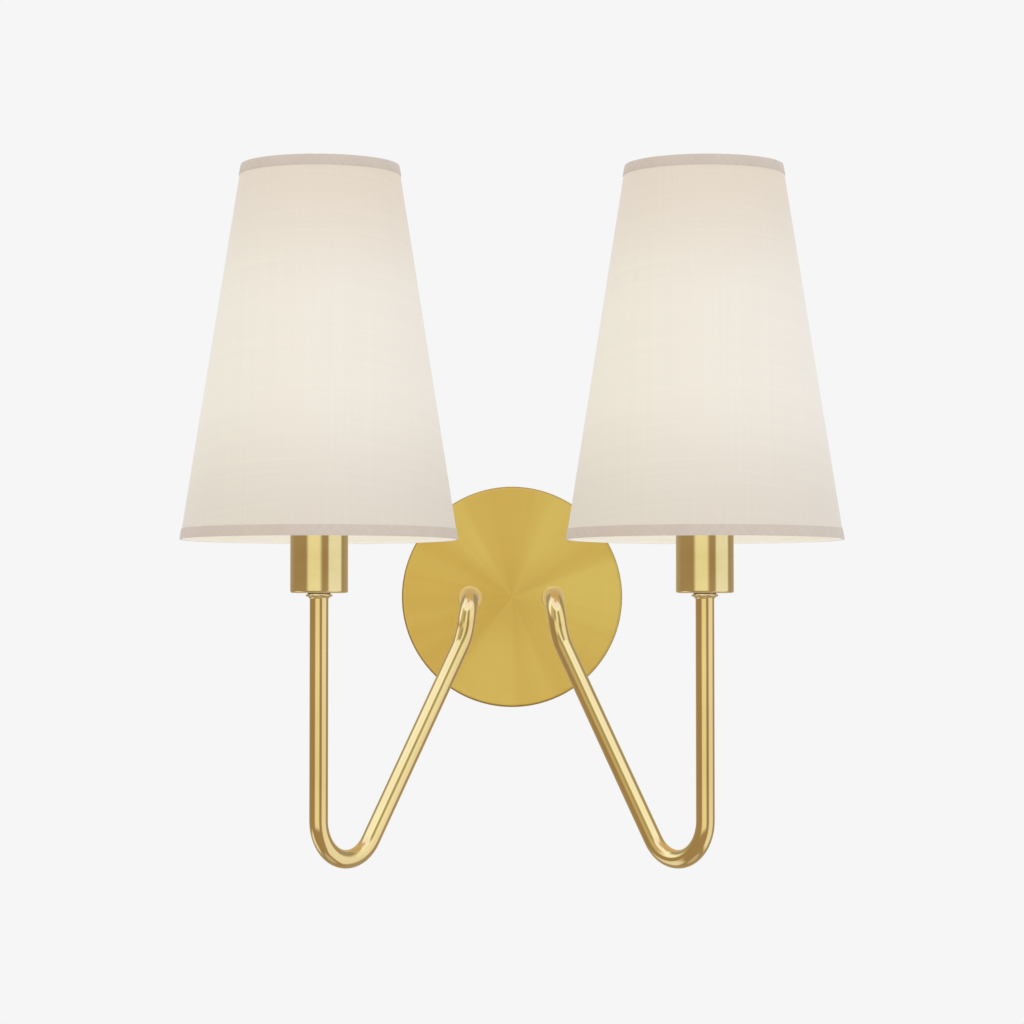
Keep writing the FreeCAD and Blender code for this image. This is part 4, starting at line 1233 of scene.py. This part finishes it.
def mirrored_studio(tree):
    """What metal mirrors: the studio's tones round the room at five heights, from the floor up."""
    x, y, rise = parts(tree, put(tree, "ShaderNodeTexCoord").outputs["Generated"])
    bearing = maths(tree, "ARCTAN2", x, maths(tree, "MULTIPLY", y, -1.0))
    warm, cool, clear = (0.95, 0.945, 0.80), (0.925, 0.955, 1.0), (1.02, 1.07, 1.08)
    dim, grey, slate = (0.40, 0.305, 0.20), (0.44, 0.38, 0.32), (0.41, 0.38, 0.33)
    tan, olive, brown = (0.65, 0.58, 0.44), (0.44, 0.42, 0.25), (0.66, 0.54, 0.36)
    bright, rosy, blush = (1.14, 1.28, 1.46), (1.10, 1.10, 1.52), (0.74, 0.62, 0.52)
    level = round_the_room(tree, bearing, (
        (-165, brown), (-152, grey), (-135, grey), (-112, dim), (-50, dim), (-38, warm), (5, warm),
        (16, dim), (38, dim), (44, cool), (98, cool), (107, dim), (135, grey), (152, grey), (165, brown),
    ))
    low = round_the_room(tree, bearing, (
        (-126, grey), (-118, cool), (-92, cool), (-82, dim), (38, dim), (44, cool), (100, cool),
        (110, grey),
    ))
    high = round_the_room(tree, bearing, (
        (-152, brown), (-144, slate), (-126, slate), (-106, bright), (-92, bright), (-76, tan),
        (-52, tan), (-34, olive), (-24, olive), (-10, clear), (4, clear), (13, olive), (34, olive), (46, clear),
        (92, clear), (110, slate), (144, slate), (152, brown),
    ))
    top = round_the_room(tree, bearing, (
        (-140, brown), (-122, bright), (85, bright), (108, tan), (140, brown),
    ))
    crown = round_the_room(tree, bearing, (
        (-130, brown), (-110, rosy), (80, rosy), (100, tan), (140, brown),
    ))
    mirrored = level
    for low_end, high_end, light in (
        (-0.22, -0.42, low),
        (-0.76, -0.90, dim),
        (-0.93, -0.99, (0.60, 0.55, 0.55)),
        (0.12, 0.34, high),
        (0.71, 0.79, top),
        (0.80, 0.87, crown),
        (0.965, 0.99, blush),
    ):
        share = spread(tree, rise, low_end, high_end, smooth=True)
        mirrored = blend(tree, share, mirrored, light)
    return mirrored


def make_world(background):
    """Plain soft light, a pale backdrop, and the studio's bright and dim sides for metal to mirror."""
    world = bpy.data.worlds.new("Studio")
    bpy.context.scene.world = world
    world.use_nodes = True
    tree = world.node_tree
    tree.nodes.clear()
    glossy = put(tree, "ShaderNodeLightPath").outputs["Is Glossy Ray"]
    metal_view = blend(tree, glossy, background, mirrored_studio(tree))
    chosen = blend(tree, seen_directly(tree), SOFT_LIGHT, metal_view)
    shader = put(tree, "ShaderNodeBackground", {"Strength": 1.0, "Color": chosen})
    put(tree, "ShaderNodeOutputWorld", {"Surface": shader.outputs[0]})


def make_floor(background):
    """Pale floor far below the lamp that fades into the backdrop."""
    floor = add_mesh("floor", bpy.ops.mesh.primitive_circle_add, vertices=96, radius=5.0, fill_type="NGON",
                     location=(0, -1.0, -FLOOR_DEPTH))
    material, tree, _ = new_material("Pale floor", SOFT_LIGHT, 0.0, 0.9)
    flat = put(tree, "ShaderNodeEmission", {"Color": background, "Strength": 1.0})
    distance = length_of(tree, object_place(tree))
    share = maths(tree, "MULTIPLY", seen_directly(tree), spread(tree, distance, 1.0, 4.5, 0.6, 1.0, smooth=True))
    mix = put(tree, "ShaderNodeMixShader",
              {0: share, 1: tree.nodes["Principled BSDF"].outputs[0], 2: flat.outputs[0]})
    feed(tree, mix.outputs[0], tree.nodes["Material Output"].inputs["Surface"])
    floor.data.materials.append(material)
    floor.visible_glossy = False


def add_lamp(name, place, power):
    """Soft square lamp, aimed at the sconce, that metal doesn't mirror."""
    bpy.ops.object.light_add(type="AREA", location=place)
    lamp = bpy.context.object
    lamp.name = name
    lamp.data.size = 1.6
    lamp.data.energy = power
    target = Vector((0, -0.1, 0))
    lamp.rotation_euler = (target - Vector(place)).to_track_quat("-Z", "Y").to_euler()
    lamp.visible_glossy = False


class SCONCE_OT_stage(bpy.types.Operator):
    """Set up the camera, the soft lamps, the backdrop and the floor"""

    bl_idname = "sconce.stage"
    bl_label = "Stage"

    def execute(self, context):
        background = tone("background")
        scene = context.scene
        deselect_all()
        bpy.ops.object.camera_add(location=CAMERA_PLACE, rotation=(CAMERA_TILT, 0, 0))
        camera = context.object
        camera.data.lens = CAMERA_LENS
        camera.data.sensor_width = SENSOR_WIDTH
        scene.camera = camera
        scene.view_settings.view_transform = "Standard"
        make_world(background)
        make_floor(background)
        add_lamp("Key lamp", (-1.3, -2.2, 1.3), 6)
        add_lamp("Fill lamp", (1.6, -2.0, 0.4), 4)
        return {"FINISHED"}


# ------------------------------------------------------------------ add-on

PIECE_OPERATORS = (
    SCONCE_OT_stage, SCONCE_OT_backplate, SCONCE_OT_arms, SCONCE_OT_cups, SCONCE_OT_lampholders,
    SCONCE_OT_shades, SCONCE_OT_fitters, SCONCE_OT_bulbs, SCONCE_OT_fixings,
)


class SCONCE_PT_panel(bpy.types.Panel):
    """Lists the sconce's pieces and settings"""

    bl_idname = "SCONCE_PT_panel"
    bl_label = "Wall sconce"
    bl_space_type = "VIEW_3D"
    bl_region_type = "UI"
    bl_category = "Sconce"

    def draw(self, context):
        layout = self.layout
        for operator in PIECE_OPERATORS:
            layout.operator(operator.bl_idname)
        for settings in (context.scene.sconce_sizes, context.scene.sconce_colours):
            box = layout.box()
            for key in type(settings).__annotations__:
                box.prop(settings, key)


CLASSES = (SconceSizes, SconceColours, *PIECE_OPERATORS, SCONCE_PT_panel)


def register():
    """Registers the settings, operators and panel."""
    for cls in CLASSES:
        bpy.utils.register_class(cls)
    bpy.types.Scene.sconce_sizes = bpy.props.PointerProperty(type=SconceSizes)
    bpy.types.Scene.sconce_colours = bpy.props.PointerProperty(type=SconceColours)


def unregister():
    """Removes what register added."""
    del bpy.types.Scene.sconce_colours
    del bpy.types.Scene.sconce_sizes
    for cls in reversed(CLASSES):
        bpy.utils.unregister_class(cls)


def main():
    """Builds every piece."""
    register()
    for operator in PIECE_OPERATORS:
        group, name = operator.bl_idname.split(".")
        getattr(getattr(bpy.ops, group), name)()
    deselect_all()


if __name__ == "__main__":
    main()
